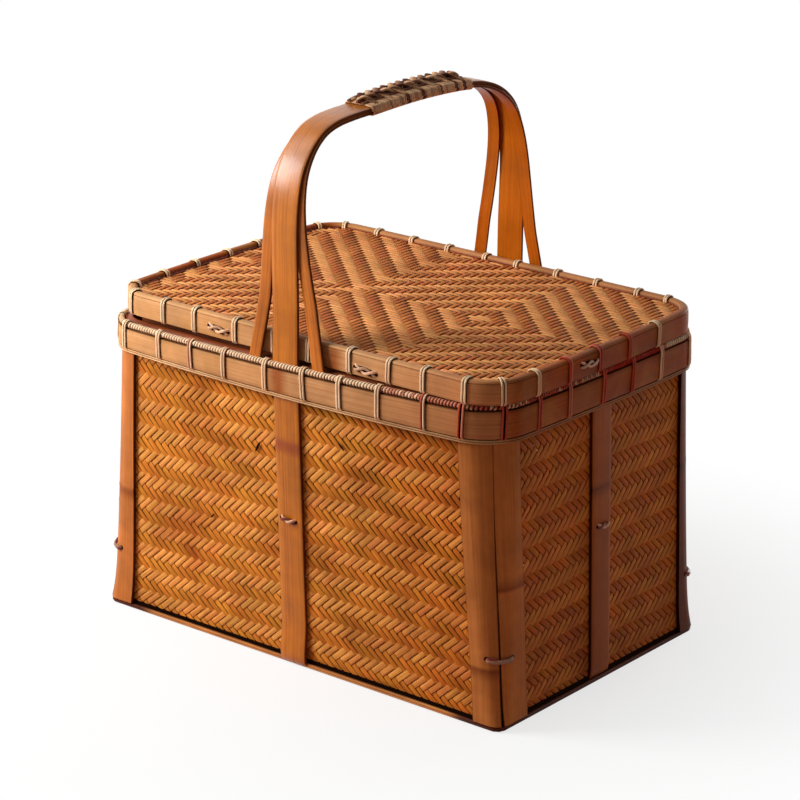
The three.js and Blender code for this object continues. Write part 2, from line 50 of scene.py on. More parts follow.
# Driving sizes, the same as the solids'. A plan has half lengths hx and hy, a corner radius r and
# bows bx and by of its sides.
GAP = 0.3
BASE = {"hx": 173.8, "hy": 112.1, "r": 4.0, "bx": 0.0, "by": 0.0}
RIM = {"hx": 164.6, "hy": 113.3, "r": 24.0, "bx": 2.7, "by": 9.0}
LEAN = (1.7, 2.2)  # how far the rim is out of square: x by y, y by x
LEAN_OVER = (113, 165)  # the half lengths over which it leans so far
RIM_DIP = 4.6  # how far the rim sags at the left
DIP_X = 150
DIP_Z = (199, 218)  # from no sag up to the whole of it
FLOOR_Z = 2.7
BODY_TOP = 217.5
FLOOR = 3.0
WALL = 2.2
SLAT = 2.4
SLAT_TOP = 216.8
CENTRE_SLAT_W = 22.0
SIDE_FOLD = 60.0
EDGE_STRIP = 2.0
HOOP = 2.4
HOOP_Z = (199.7, 218.2)
SLOT = SLAT + 2 * GAP
HOOP_OUT = SLOT + HOOP
LOWER_STRIP_Z = (196.3, 199.3)
RIM_EDGE_Z = (218.5, 223.1)
LID = {"hx": 167.0, "hy": 118.4, "r": 28.0, "bx": 3.4, "by": 1.2, "x": 3.1}
LID_Z = (223.4, 237.6)
LID_PANEL_LOW = 233.2
LID_INNER = HOOP + GAP
LID_BEND = LID_INNER + 2.0
FILLER_IN = -6.6
FILLER_TOP = 239.5
LOCATOR_IN = WALL + GAP + HOOP + 2.3
LOCATOR_LOW = 213
LOCATOR = {k: RIM[k] - LOCATOR_IN for k in ("hx", "hy", "r")}
LOCATOR.update(r=LOCATOR["r"] + 2.2, bx=1.0, by=4.6, x=0.0)
STRIP = 2.4
BRACE = {"width": 10.2, "thick": 2.2}
ARCH_FRONT = [  # y, z of the handle's middle line, from the front leg up
    (-123.8, 264), (-124.6, 300), (-124.4, 318), (-122.7, 335), (-119.0, 349.0), (-113.0, 360.0),
    (-105.4, 368.6), (-95.2, 375.4), (-82.5, 379.0), (-66, 380.6), (-48, 381.2), (-26, 382.1), (0, 382.7),
]
ARCH_BACK = [
    (123.8, 264), (124.6, 300), (124.2, 316), (122.2, 331), (118.2, 344.5), (111.6, 356.5), (102.0, 365.8),
    (90, 372.8), (74, 378), (56, 380.6), (30, 382.2),
]
BRACE_Z = (196, 218, 262, 300, 331, 357, 372)
BRACE_X = {  # x of each brace at those heights, in front and behind
    "left": ((-29.8, -27.2, -19.6, -16.2, -13.6, -10, -6), (-32, -29.5, -21.8, -17, -13.6, -10, -6)),
    "right": ((32.6, 29.6, 19.4, 12.4, 8.9, 7, 5.9), (30.6, 27.6, 19.4, 12.6, 8.9, 7, 5.9)),
}
BRACE_FOOT = (199.0, 208.0, 217.0)  # heights at which a brace lies against the wall
GRIP_Y = (-49.0, 60.0)

# Weave
FLOAT = 3  # crossings that a strip passes over, then under
WALL_CELL = (3.365, 3.1)  # a crossing's step along the wall and up it
WEAVE_Z = (4.6, BODY_TOP - 0.2)
ROW_DRIFT = [  # place s round the wall, rise of the rows there
    (-548, 5), (-300, 3.5), (-120, 3.2), (-97, 4.5), (-72, 5), (-48, 5.9), (-25, 7), (0, 8), (32, 8.9),
    (57, 8.7), (82, 8.4), (107, 7.8), (200, 5.8), (216, 6), (241, 6.6), (299, 7.9), (321, 6.9), (341, 6),
    (547, 5),
]
ROW_ROUND = 1096  # after so far round the wall the drift starts again
ROW_TOP = 214.8
ROW_RISE = (0.945, 0.05)  # a row's rise for a millimetre of v at the foot, and what is added at the top
SLITS = (  # painted shade of slits in the wall: place, height, half run, half rise, half width
    (-27.0, 154.0, 2.2, 3.9, 0.95), (46.5, 171.0, -2.6, 2.6, 0.8), (-72.0, 92.0, 2.0, 2.0, 0.6),
)
FLOOR_PITCH = 4.7
LID_CENTRE = (68.3, -1.4)  # middle of the lid's rings
LID_SPACING = (4.40, 4.13)  # spacing of the cross strips along x, and of the long strips along y
LID_FOLD = 49  # crossings after which the rings turn back on the left
LID_WEAVE_Z = 235.4

# Camera at the photograph's angle
IMAGE = 800
CAMERA = {"azimuth": 38.53, "elevation": 19.0, "roll": 0.66, "distance": 2161.7, "target_z": 162.24}
FOCAL_PIXELS = 3092.14
CENTRE_PIXEL = (401.46, 400.1)
SENSOR = 36.0


def make_camera():
    az, el, roll = (math.radians(CAMERA[k]) for k in ("azimuth", "elevation", "roll"))
    back = Vector((math.sin(az) * math.cos(el), -math.cos(az) * math.cos(el), math.sin(el)))
    right = Vector((math.cos(az), math.sin(az), 0))
    up = back.cross(right)
    turned_right = right * math.cos(roll) + up * math.sin(roll)
    turned_up = up * math.cos(roll) - right * math.sin(roll)
    data = bpy.data.cameras.new("camera")
    data.sensor_width = SENSOR
    data.lens = FOCAL_PIXELS * SENSOR / IMAGE
    data.shift_x = (IMAGE / 2 - CENTRE_PIXEL[0]) / IMAGE
    data.shift_y = (CENTRE_PIXEL[1] - IMAGE / 2) / IMAGE
    data.clip_end = 50
    camera = bpy.data.objects.new("camera", data)
    stand = (back * CAMERA["distance"] + Vector((0, 0, CAMERA["target_z"]))) * METRE
    rows = Matrix((turned_right, turned_up, back)).transposed().to_4x4()
    camera.matrix_world = Matrix.Translation(stand) @ rows
    bpy.context.scene.collection.objects.link(camera)
    bpy.context.scene.camera = camera


def ramp(value, start, end):
    """0 up to start, rising to 1 at end and past it. end may lie below start."""
    return np.clip((value - start) / (end - start), 0, 1)


# Plans of the body and of the lid

def wall_plan(z):
    t = ramp(np.asarray(z, float), FLOOR_Z, BODY_TOP)
    plan = {k: BASE[k] + (RIM[k] - BASE[k]) * t for k in BASE}
    plan["r"] = BASE["r"] + (RIM["r"] - BASE["r"]) * np.sqrt(t)
    plan["lean"] = t
    return plan


def upright(sizes):
    """A plan that is the same at every height, x being its shift along X."""
    return lambda z: {k: v + 0 * np.asarray(z, float) for k, v in sizes.items()}


lid_plan = upright(LID)
locator_plan = upright(LOCATOR)


def rim_dip(x, z):
    """Heights near the rim, which sags leftwards of DIP_X, and in full that far left of the middle."""
    share = np.clip((DIP_X - x) / (2 * DIP_X), 0, 1.05) ** 1.2
    return z - RIM_DIP * share * ramp(z, *DIP_Z)


def parts_of(plan):
    """Half lengths of the straight sides, and the length of a corner's arc."""
    return plan["hx"] - plan["r"], plan["hy"] - plan["r"], plan["r"] * math.pi / 2


def length_round(plan):
    return 4 * sum(parts_of(plan))


def place(plan_at, s, z, off):
    """Points at distance s round the plan from the middle of the front, towards +X, off outwards."""
    s, z, off = np.broadcast_arrays(*(np.asarray(v, float) for v in (s, z, off)))
    plan = plan_at(z)
    ax, ay, arc = parts_of(plan)
    r = plan["r"]
    total = length_round(plan)
    s = np.mod(s, total)
    sign_x = np.where(s <= total / 2, 1.0, -1.0)
    s = np.minimum(s, total - s)
    sign_y = np.where(s <= total / 4, -1.0, 1.0)
    s = np.minimum(s, total / 2 - s)
    turn = np.clip((s - ax) / r, 0, math.pi / 2)
    x = (np.minimum(s, ax) + (r + off) * np.sin(turn)) * sign_x
    y = (ay + (r + off) * np.cos(turn) - np.maximum(s - ax - arc, 0)) * sign_y
    fx = np.maximum(0, 1 - (x / plan["hx"]) ** 2)
    fy = np.maximum(0, 1 - (y / plan["hy"]) ** 2)
    bowed_x = x + plan["bx"] * fy * x / plan["hx"]
    bowed_y = y + plan["by"] * fx * y / plan["hy"]
    if "lean" not in plan:
        return np.stack([bowed_x + plan["x"], bowed_y, z], -1)
    leaning_x = bowed_x + LEAN[0] * plan["lean"] * y / LEAN_OVER[0]
    leaning_y = bowed_y + LEAN[1] * plan["lean"] * x / LEAN_OVER[1]
    return np.stack([leaning_x, leaning_y, rim_dip(leaning_x, z)], -1)


def outward(plan_at, s, z):
    return place(plan_at, s, z, 10.0) - place(plan_at, s, z, 0.0)


def side_s(plan_at, side, along, z):
    """The distance s of a point of a side, given by its x or y."""
    quarter = float(length_round(plan_at(z))) / 4
    at = {"front": along, "back": 2 * quarter - along, "right": quarter + along, "left": -quarter - along}
    return at[side]


def corner_s(plan_at, corner, z):
    """The distance s of a corner's diagonal."""
    plan = plan_at(z)
    ax, _, arc = parts_of(plan)
    s = ax + arc / 2
    if corner.startswith("back"):
        s = length_round(plan) / 2 - s
    return s if corner.endswith("right") else -s


def run_lengths(points):
    return np.concatenate([[0], np.cumsum(np.linalg.norm(np.diff(points, axis=0), axis=1))])


def smooth_path(points, step):
    """A centripetal Catmull-Rom curve through points, resampled about every step."""
    p = np.asarray(points, float)
    p = np.concatenate([2 * p[:1] - p[1:2], p, 2 * p[-1:] - p[-2:-1]])
    t = np.linspace(0, 1, 24, endpoint=False)[:, None]
    out = []
    for p0, p1, p2, p3 in zip(p, p[1:], p[2:], p[3:]):
        t0, t1, t2 = (max(np.linalg.norm(b - a) ** 0.5, 1e-6) for a, b in ((p0, p1), (p1, p2), (p2, p3)))
        m1 = ((p1 - p0) / t0 - (p2 - p0) / (t0 + t1) + (p2 - p1) / t1) * t1
        m2 = ((p2 - p1) / t1 - (p3 - p1) / (t1 + t2) + (p3 - p2) / t2) * t1
        out.append((2 * t**3 - 3 * t**2 + 1) * p1 + (t**3 - 2 * t**2 + t) * m1
                   + (3 * t**2 - 2 * t**3) * p2 + (t**3 - t**2) * m2)
    fine = np.concatenate(out + [p[-2:-1]])
    run = run_lengths(fine)
    at = np.linspace(0, run[-1], max(2, int(round(run[-1] / step)) + 1))
    return np.stack([np.interp(at, run, fine[:, i]) for i in range(p.shape[1])], -1)


def unit(rows):
    return rows / np.linalg.norm(rows, axis=-1, keepdims=True)


def tangents(path):
    return unit(np.gradient(path, axis=0))


def along_x(lengths):
    return np.stack([lengths, 0 * lengths, 0 * lengths], -1)


# Meshes

class Shape:
    """Closed tubes gathered into one mesh. grain holds the run along a strip, the place across it
    and a number from 0 to 1 of its own. tone picks between the material's two colours: on the weave and
    the base strip it is painted shade, on the hoops painted shade and darker joints, elsewhere a real
    second colour such as a joint or a red strand. A third value is 1 on the narrow sides, which are
    painted darker as the shade between parts."""

    def __init__(self):
        self.points, self.grain, self.tone, self.flank, self.quads, self.caps = [], [], [], [], [], []
        self.count = 0

    def tube(self, rings, along, across, seed, tone=0.0, flank=0.0, closed=False):
        n, m = rings.shape[:2]
        k = np.arange(n if closed else n - 1)[:, None]
        i = np.arange(m)[None, :]
        after = (k + 1) % n
        corners = [k * m + i, k * m + (i + 1) % m, after * m + (i + 1) % m, after * m + i]
        quads = np.stack(corners, -1).reshape(-1, 4)
        flat = rings.reshape(-1, 3)
        v = flat[quads] - flat.mean(0)
        volume = np.einsum("ij,ij->", v[:, 0], np.cross(v[:, 1], v[:, 2]) + np.cross(v[:, 2], v[:, 3]))
        caps = [] if closed else [np.arange(m)[::-1], np.arange((n - 1) * m, n * m)]
        if volume < 0:
            quads = quads[:, ::-1]
            caps = [c[::-1] for c in caps]

        def by_point(values):
            return np.broadcast_to(np.asarray(values, float), (n, m))

        def by_ring(values):
            return by_point(np.asarray(values, float).reshape(-1, 1))

        self.points.append(flat)
        self.grain.append(np.stack([by_ring(along), by_point(across), by_ring(seed)], -1).reshape(-1, 3))
        self.tone.append(by_ring(tone).reshape(-1))
        self.flank.append(by_point(flank).reshape(-1))
        self.quads.append(quads + self.count)
        self.caps += [c + self.count for c in caps]
        self.count += n * m

    def strand(self, path, up, section, seed, tone=0.0, flank=0.0, taper=None, run=None):
        """A section carried along a path, scaled by taper where that is given."""
        rings = cord_rings(path, up, section)
        if taper is not None:
            rings = tapered(path, rings, taper)
        run = run_lengths(path) if run is None else run
        self.tube(rings, run, section[:, 0], seed, tone, flank)

    def make(self, name, material, slot, nodes, body="basket", crease=45.0):
        quads = np.concatenate(self.quads)
        totals = np.array([4] * len(quads) + [len(c) for c in self.caps])
        index = np.concatenate([quads.reshape(-1)] + self.caps)
        mesh = bpy.data.meshes.new(name)
        mesh.vertices.add(self.count)
        mesh.vertices.foreach_set("co", (np.concatenate(self.points) * METRE).reshape(-1))
        mesh.loops.add(len(index))
        mesh.loops.foreach_set("vertex_index", index.astype(np.int32))
        mesh.polygons.add(len(totals))
        mesh.polygons.foreach_set("loop_start", (np.cumsum(totals) - totals).astype(np.int32))
        mesh.update(calc_edges=True)
        for layer, kind, key, values in (("grain", "FLOAT_VECTOR", "vector", self.grain),
                                         ("tone", "FLOAT", "value", self.tone),
                                         ("flank", "FLOAT", "value", self.flank)):
            made = mesh.attributes.new(layer, kind, "POINT")
            made.data.foreach_set(key, np.concatenate(values).reshape(-1))
        mesh.shade_smooth()
        mesh.set_sharp_from_angle(angle=math.radians(crease))
        mesh.materials.append(M[material])
        piece = bpy.data.objects.new(name, mesh)
        bpy.context.scene.collection.objects.link(piece)
        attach(piece, body)
        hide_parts(*nodes)


def frames(path, up):
    """Unit side and up vectors along a path, up being kept near the given vectors."""
    tangent = tangents(path)
    side = unit(np.cross(tangent, np.broadcast_to(np.asarray(up, float), path.shape)))
    return side, np.cross(side, tangent)


def cord_rings(path, up, section):
    """Rings of a section [(side, up), ...] carried along a path."""
    side, lift = frames(path, up)
    return path[:, None] + side[:, None] * section[None, :, :1] + lift[:, None] * section[None, :, 1:]


def closed_rings(path, up, section):
    """Rings carried round a closed path."""
    up = np.broadcast_to(up, path.shape)
    path, up = (np.concatenate([rows[-2:], rows, rows[:2]]) for rows in (path, up))
    return cord_rings(path, up, section)[2:-2]


def tapered(path, rings, share):
    return path[:, None] + (rings - path[:, None]) * share[:, None, None]


CORD_PAINTED_SHADE = np.array([1, 0.25, 0, 0.25, 1, 0.25, 0, 0.25])  # painted shade on the sides of a strand in a close winding


def round_section(half_w, half_t, sides=8, power=1.0):
    a = (np.arange(sides) + 0.5) / sides * TURN
    across, up = (np.sign(v) * np.abs(v) ** power for v in (np.cos(a), np.sin(a)))
    return np.stack([half_w * across, half_t * up], -1)


def slat_section(width, thick, crown=0.35, edge=0.55, columns=6):
    """Across a split of bamboo: a slightly crowned outer face with eased edges. Pairs of (across, out)."""
    half = width / 2
    x = np.linspace(-half + edge, half - edge, columns + 1)
    outer = [(v, thick / 2 + crown * (1 - (v / half) ** 2) - crown) for v in x]
    low = -thick / 2
    right = [(half - edge * 0.25, thick / 2 - edge * 0.6 - crown), (half, 0), (half - edge * 0.3, low)]
    left = [(-u, w) for u, w in right[::-1]]
    inner = [(v, low) for v in np.linspace(half - edge, -half + edge, 3)]
    return np.array(outer + right + inner + left)


def slat_flank(columns):
    """How much each point of a slat's section belongs to its dark sides, which are painted shade."""
    return np.array([0.0] * (columns + 1) + [1.0] * 3 + [0.7] * 3 + [1.0] * 3)


# Materials

def linear(hex_colour):
    """The colour that renders as this screen colour."""
    parts = [int(hex_colour[i : i + 2], 16) / 255 for i in (0, 2, 4)]
    return [c / 12.92 if c <= 0.04045 else ((c + 0.055) / 1.055) ** 2.4 for c in parts] + [1.0]


class Paint:
    """A procedural material, built up node by node."""

    def __init__(self, name, **constants):
        self.material = bpy.data.materials.new(name)
        self.material.use_nodes = True
        self.tree = self.material.node_tree
        self.shader = self.tree.nodes["Principled BSDF"]
        for key, value in constants.items():
            self.shader.inputs[key.replace("_", " ")].default_value = value

    def feed(self, socket, value):
        if isinstance(value, bpy.types.NodeSocket):
            self.tree.links.new(value, socket)
        else:
            socket.default_value = value

    def node(self, kind, inputs=(), output=0, **settings):
        made = self.tree.nodes.new("ShaderNode" + kind)
        for key, value in settings.items():
            setattr(made, key, value)
        for key, value in dict(inputs).items():
            self.feed(made.inputs[key], value)
        return made.outputs if output is None else made.outputs[output]

    def attribute(self, name, output="Fac"):
        return self.node("Attribute", output=output, attribute_name=name, attribute_type="GEOMETRY")

    def spot(self, output="Object"):
        return self.node("TexCoord", output=output)

    def split(self, vector):
        return self.node("SeparateXYZ", {0: vector}, output=None)

    def noise(self, vector, scale, detail, rough=0.5, distortion=0.0):
        keys = {"Vector": vector, "Scale": scale, "Detail": detail, "Roughness": rough}
        return self.node("TexNoise", {**keys, "Distortion": distortion})

    def math(self, operation, a, b=0.0):
        return self.node("Math", {0: a, 1: b}, operation=operation)

    def times(self, a, b):
        return self.math("MULTIPLY", a, b)

    def span(self, value, low, high, to_low=0.0, to_high=1.0):
        keys = {"Value": value, "From Min": low, "From Max": high, "To Min": to_low, "To Max": to_high}
        return self.node("MapRange", keys)

    def mix(self, factor, a, b):
        return self.node("Mix", {0: factor, 6: a, 7: b}, output=2, data_type="RGBA", blend_type="MIX")

    def bump(self, height, strength, distance):
        made = self.node("Bump", {"Height": height, "Strength": strength, "Distance": distance})
        self.feed(self.shader.inputs["Normal"], made)


def cane(name, low, high, varied, streak=(0.02, 0.9), fibre=(0.03, 5.0), second=None, edge=None,
         painted_shade_share=0.85, stain=None, stain_share=0.5, rough=(0.35, 0.55), coat=0.0, blotch=0.25,
         node_dark=None, specular=0.25, behind=None, hues=(0.492, 0.506)):
    """Split bamboo or rattan: streaks and fibres run along the strip, each strip has its own shade, and
    low-frequency stains cross it. second is the colour where tone is 1, behind a brighter orange painted as
    light on the inner face of the handle's far leg, which faces the key lamp, node_dark the colour at a
    joint, and edge the painted shade on the narrow sides."""
    p = Paint(name, Coat_Weight=coat, Coat_Roughness=0.25, Specular_IOR_Level=specular)
    run, across, own = p.split(p.attribute("grain", "Vector"))

    def own_chance(factor):
        return p.node("TexWhiteNoise", {"W": p.times(own, factor)}, noise_dimensions="1D")

    def drawn_out(scales, factor, detail):
        keys = {0: p.times(run, scales[0]), 1: p.times(across, scales[1]), 2: p.times(own, factor)}
        return p.noise(p.node("CombineXYZ", keys), 1.0, detail, 0.6)

    def between(pair):
        return p.mix(share, linear(pair[0]), linear(pair[1]))

    streaks = drawn_out(streak, 57.0, 3.0)
    fibres = drawn_out(fibre, 83.0, 2.0)
    share = p.span(p.math("ADD", p.times(streaks, 0.7), p.times(fibres, 0.3)), 0.36, 0.64)
    colour = between((low, high))
    if second:
        colour = p.mix(p.attribute("tone"), colour, between(second))
    # painted light: the inner face of the handle's far leg, which faces the key lamp, is painted a brighter,
    # deeper orange
    if behind:
        far_back = p.span(p.split(p.spot())[1], 0.04, 0.1)
        facing = p.span(p.split(p.spot("Normal"))[1], -0.3, 0.1, 1.0, 0.0)
        colour = p.mix(p.times(far_back, facing), colour, between(behind))
    if stain:
        wide = p.noise(p.spot(), 17.0, 3.0, 0.6, 0.4)
        colour = p.mix(p.span(wide, 0.48, 0.72, 0.0, stain_share), colour, linear(stain))
    if node_dark:
        colour = p.mix(p.attribute("tone"), colour, linear(node_dark))
    # painted shade: the narrow sides take the dark edge colour, standing in for the shade between strips
    if edge:
        flank = p.attribute("flank")
        colour = p.mix(p.times(flank, painted_shade_share), colour, linear(edge))
        dull = p.span(flank, 0.0, 1.0, specular, specular * 0.1)
        p.feed(p.shader.inputs["Specular IOR Level"], dull)
        if coat:  # polished by hands above the lid
            polish = p.span(p.split(p.spot())[2], 0.255, 0.31, 0.3, 1.0)
            p.feed(p.shader.inputs["Coat Weight"], p.times(polish, p.span(flank, 0.0, 1.0, coat, 0.0)))
    shade = p.span(own_chance(91.7), 0.0, 1.0, 1.0 - varied, 1.0 + varied * 0.6)
    patches = p.span(p.noise(p.spot(), 30.0, 3.0, 0.6), 0.3, 0.7, 1.0 - blotch, 1.0 + blotch * 0.5)
    hue = p.span(own_chance(37.1), 0.0, 1.0, *hues)
    varied_colour = p.node("HueSaturation", {"Hue": hue, "Value": p.times(shade, patches), "Color": colour})
    p.feed(p.shader.inputs["Base Color"], varied_colour)
    p.feed(p.shader.inputs["Roughness"], p.span(streaks, 0.3, 0.7, *rough))
    p.bump(p.math("ADD", fibres, p.times(streaks, 0.5)), 0.35, 0.0004)
    return p.material


def seen_by_camera(tree):
    """1 for what the camera sees, straight on, mirrored or through glass, and 0 for light on a surface."""
    path = tree.nodes.new("ShaderNodeLightPath")
    seen = path.outputs["Is Camera Ray"]
    for ray in ("Is Glossy Ray", "Is Transmission Ray"):
        either = tree.nodes.new("ShaderNodeMath")
        either.operation = "MAXIMUM"
        tree.links.new(seen, either.inputs[0])
        tree.links.new(path.outputs[ray], either.inputs[1])
        seen = either.outputs[0]
    return seen


def floor_material():
    """Pale floor that keeps the soft shadow near the basket and turns white away from it. What it
    throws back on the basket is the warm light of a wooden table."""
    p = Paint("pale_floor", Roughness=0.9)
    grain = p.noise(p.spot(), 9.0, 3.0)
    pale = p.mix(grain, linear("f2f2f0"), linear("f6f6f5"))
    thrown = p.node("LightPath", output="Is Diffuse Ray")
    p.feed(p.shader.inputs["Base Color"], p.mix(thrown, pale, linear("b5836f")))
    p.bump(grain, 0.05, 0.001)
    distance = p.node("VectorMath", {0: p.spot()}, output="Value", operation="LENGTH")
    white = p.node("Emission", {"Color": (1, 1, 1, 1), "Strength": 1.0})
    share = p.times(p.span(distance, 0.15, 0.42, 0.68, 1.0), seen_by_camera(p.tree))
    both = p.node("MixShader", {0: share, 1: p.shader.outputs[0], 2: white})
    p.feed(p.tree.nodes["Material Output"].inputs["Surface"], both)
    return p.material


def make_materials():
    # edge is painted shade on the narrow sides of strips, strands and bands
    weave = dict(edge="341407", stain_share=0.6, specular=0.05, blotch=0.26)
    lid = dict(edge="40180a", painted_shade_share=0.95, stain_share=0.4, specular=0.08, rough=(0.55, 0.7))
    slat = dict(streak=(0.012, 0.5), fibre=(0.02, 3.0), stain="9c5424", stain_share=0.35, edge="1e0a04",
                rough=(0.4, 0.55), specular=0.08, hues=(0.498, 0.502))
    wound = dict(streak=(0.08, 1.5), rough=(0.45, 0.6))
    return {
        # second: darker, redder copies of the weave's colours, painted shade towards the right
        "rising": cane("bamboo_rising", "cd8338", "f4ac5b", 0.14, second=("c1702b", "e49048"),
                       stain="9c4416", painted_shade_share=0.66, **weave),
        "falling": cane("bamboo_falling", "be6f20", "e49338", 0.16, second=("b35d17", "d57a28"),
                        stain="863a12", painted_shade_share=0.88, **weave),
        # the lid's long strips are painted lighter and pinker as sheen, its cross strips darker and redder
        # as shade, for how the light falls along and across them
        "lid_x_painted_sheen": cane("bamboo_lid_long_painted_sheen", "e59049", "ffb574", 0.14, stain="a8521f", **lid),
        "lid_y_painted_shade": cane("bamboo_lid_cross_painted_shade", "c26a34", "e58d4e", 0.16, stain="8c4016", **lid),
        "slat": cane("bamboo_slat", "b56b34", "c97d3e", 0.04, node_dark="6e2a0c", **slat),
        # darker copies of the slat colour, painted shade for the slats on the shaded right; the second is
        # darker still for the side half of the back right corner
        "slat_painted_shade_copy": cane("bamboo_slat_painted_shade", "9a501c", "ac602a", 0.04, node_dark="4c1e10", **slat),
        "slat_painted_deep_shade_copy": cane("bamboo_slat_painted_deep_shade", "5e2c12", "743a1c", 0.04, node_dark="38160a", **slat),
        # behind is painted light: a brighter orange on the far leg's inner face, which faces the key lamp
        "handle": cane("bamboo_handle", "aa5509", "cc7317", 0.02, streak=(0.008, 0.55), fibre=(0.012, 3.0),
                       stain="95480f", stain_share=0.3, node_dark="963808", rough=(0.24, 0.36), coat=0.42,
                       edge="4a1c0a", painted_shade_share=0.82, specular=0.22, behind=("ee6a06", "ff8614"),
                       hues=(0.501, 0.505)),
        # second: a darker brown for the joints and for painted shade towards the right
        "hoop": cane("bamboo_hoop", "ca8d5c", "dda674", 0.04, streak=(0.01, 0.7), fibre=(0.015, 3.2),
                     stain="b97e40", stain_share=0.6, second=("8c3206", "a84a10"), rough=(0.4, 0.55),
                     edge="3a180a", specular=0.08, hues=(0.499, 0.505)),
        # a dark copy of the bamboo colour, painted shade for parts seen inside or under others
        "dark": cane("bamboo_painted_shade", "6e2c14", "8e4222", 0.1, rough=(0.3, 0.45), edge="2a1006"),
        # second: a dark brown copy, painted shadow on the base strip
        "edge_strip": cane("bamboo_edge_strip", "bf6c30", "e69854", 0.1, second=("401507", "64260e"),
                           edge="3a160a", specular=0.1),
        # a near-black colour for painted shade in slits, gaps and openings
        "gap": cane("shadow_gap", "120603", "1e0c06", 0.1, rough=(0.7, 0.9), specular=0.02),
        # second: a browner copy, painted shade towards the right
        "pale": cane("rattan_lower_strip", "dc9f68", "f6c898", 0.1, rough=(0.4, 0.55), edge="4a2410",
                     second=("8c4a24", "b4703c"), specular=0.15),
        "cream": cane("rattan_cream", "f6c696", "ffe9c6", 0.12, second=("9a1c0c", "d04828"), blotch=0.1,
                      specular=0.06, edge="5c2c14", **wound),
        "grip": cane("rattan_grip", "f6ae76", "ffdcb0", 0.18, second=("46190a", "7c3c20"), blotch=0.15,
                     specular=0.08, edge="38160a", hues=(0.494, 0.502), **wound),
        "tie": cane("rattan_tie", "581810", "8a3626", 0.1, streak=(0.1, 1.5), second=("dda27a", "f6cfa8"),
                    rough=(0.3, 0.45), edge="160603", painted_shade_share=0.95),
    }


# Woven walls, floor and lid panel

FLAT_SIDE = ((0.80, 0.5), (0.93, 0.30), (1.0, -0.1), (0.9, -0.5))  # half a strip's section, from the top
FULL_SIDE = ((0.50, 0.5), (0.84, 0.24), (1.0, -0.2), (0.85, -0.5))  # the same for the lid, which is fuller
# painted shade by point round a strip's section: none on its top, full on its sides and underside
STRIP_PAINTED_SHADE = (0, 0.5, 1, 1, 1, 1, 0.5, 0)
CUSHION_PAINTED_SHADE = np.array([0, 0.15, 1, 1, 1, 1, 0.15, 0])
STRIP_T = 0.62  # thickness of the walls' strips
LIFT = 0.46  # how far they rise and dip as they cross
LID_STRIP_T = 0.95
LID_LIFT = 0.8
FLAT = 0.36  # cells from a crossing's edge to where a strip lies level
CREST = 1.15  # share of the lift at the middle of a float
WALL_SINK = WALL * 0.43  # middle of the weave, inwards from the wall's face
FLOOR_MARGIN = 4.0
STRIP_FILL = (0.9, 0.97)  # least and most of its pitch that a strip fills
STRIP_SPREAD = (0.9, 1.06)  # how much more the widths of the walls' strips vary
LID_FILL = 0.95
V_TABLE = (-16.0, 236.0, 3.0)  # start, end and step of the rows whose heights are looked up


def strip_section(half, thick, side=FLAT_SIDE):
    """Across a flat strip: a level top with eased shoulders. Pairs of (across, up)."""
    return np.array([*side, *((-a, b) for a, b in side[::-1])]) * (half, thick)


def cut_to(p, h, low, high, margin):
    """Places p and heights h along a strip, kept from low to high."""
    inside = (p > low + margin) & (p < high - margin)
    ends = np.interp((low, high), p, h)
    return np.concatenate([[low], p[inside], [high]]), np.concatenate([ends[:1], h[inside], ends[1:]])


def over_under(low, high, shift):
    """Places along a strip, in cells, and its height there: +1 over the crossing strips, -1 under."""
    period = 2 * FLOAT
    pattern = [(FLAT, 1.0), (FLOAT / 2, CREST), (FLOAT - FLAT, 1.0)]
    pattern += [(a + FLOAT, -b) for a, b in pattern]
    first = math.floor((low + shift) / period) - 1
    last = math.ceil((high + shift) / period) + 1
    p = np.concatenate([[k * period + a - shift for a, _ in pattern] for k in range(first, last)])
    return cut_to(p, np.tile([b for _, b in pattern], last - first), low, high, 0.05)


def diagonal_strip(way, k, p, h, cell, half):
    """A strip k of a diagonal weave, way being 1 or -1 along u: u, v and height round its section at
    places p, counted in crossings. cell is a crossing's step in u and v."""
    side, up = strip_section(half, STRIP_T).T[:, None]
    cu, cv = cell
    length = math.hypot(cu, cv)
    mid = k + 0.5
    u = way * ((p[:, None] - mid) * cu - side * cv / length)
    v = (p[:, None] + mid) * cv + side * cu / length
    return u, v, way * h[:, None] * LIFT + up


def strip_half(pitch):
    return pitch / 2 * rng.uniform(*STRIP_FILL)


def row_height(s, v):
    """Height of the weave's row v at the place s: the rows aren't quite level."""
    places, rises = zip(*ROW_DRIFT)
    drift = np.interp(s, places, rises, period=ROW_ROUND)
    return FLOOR_Z + drift + v * (ROW_RISE[0] + ROW_RISE[1] * v / ROW_TOP)


def weave_painted_shade(s, quarter):
    """Painted shade: the weave is darker and redder towards the front's right end and on the right side,
    where less light falls.
    """
    s = (s + 2 * quarter) % (4 * quarter) - 2 * quarter
    front = np.clip((s - 40) / 110, 0, 0.8) * (s < quarter)
    side = ramp(s - quarter, -126, -111) * ramp(s - quarter, 135, 120)
    return np.maximum(front, side).mean(-1)


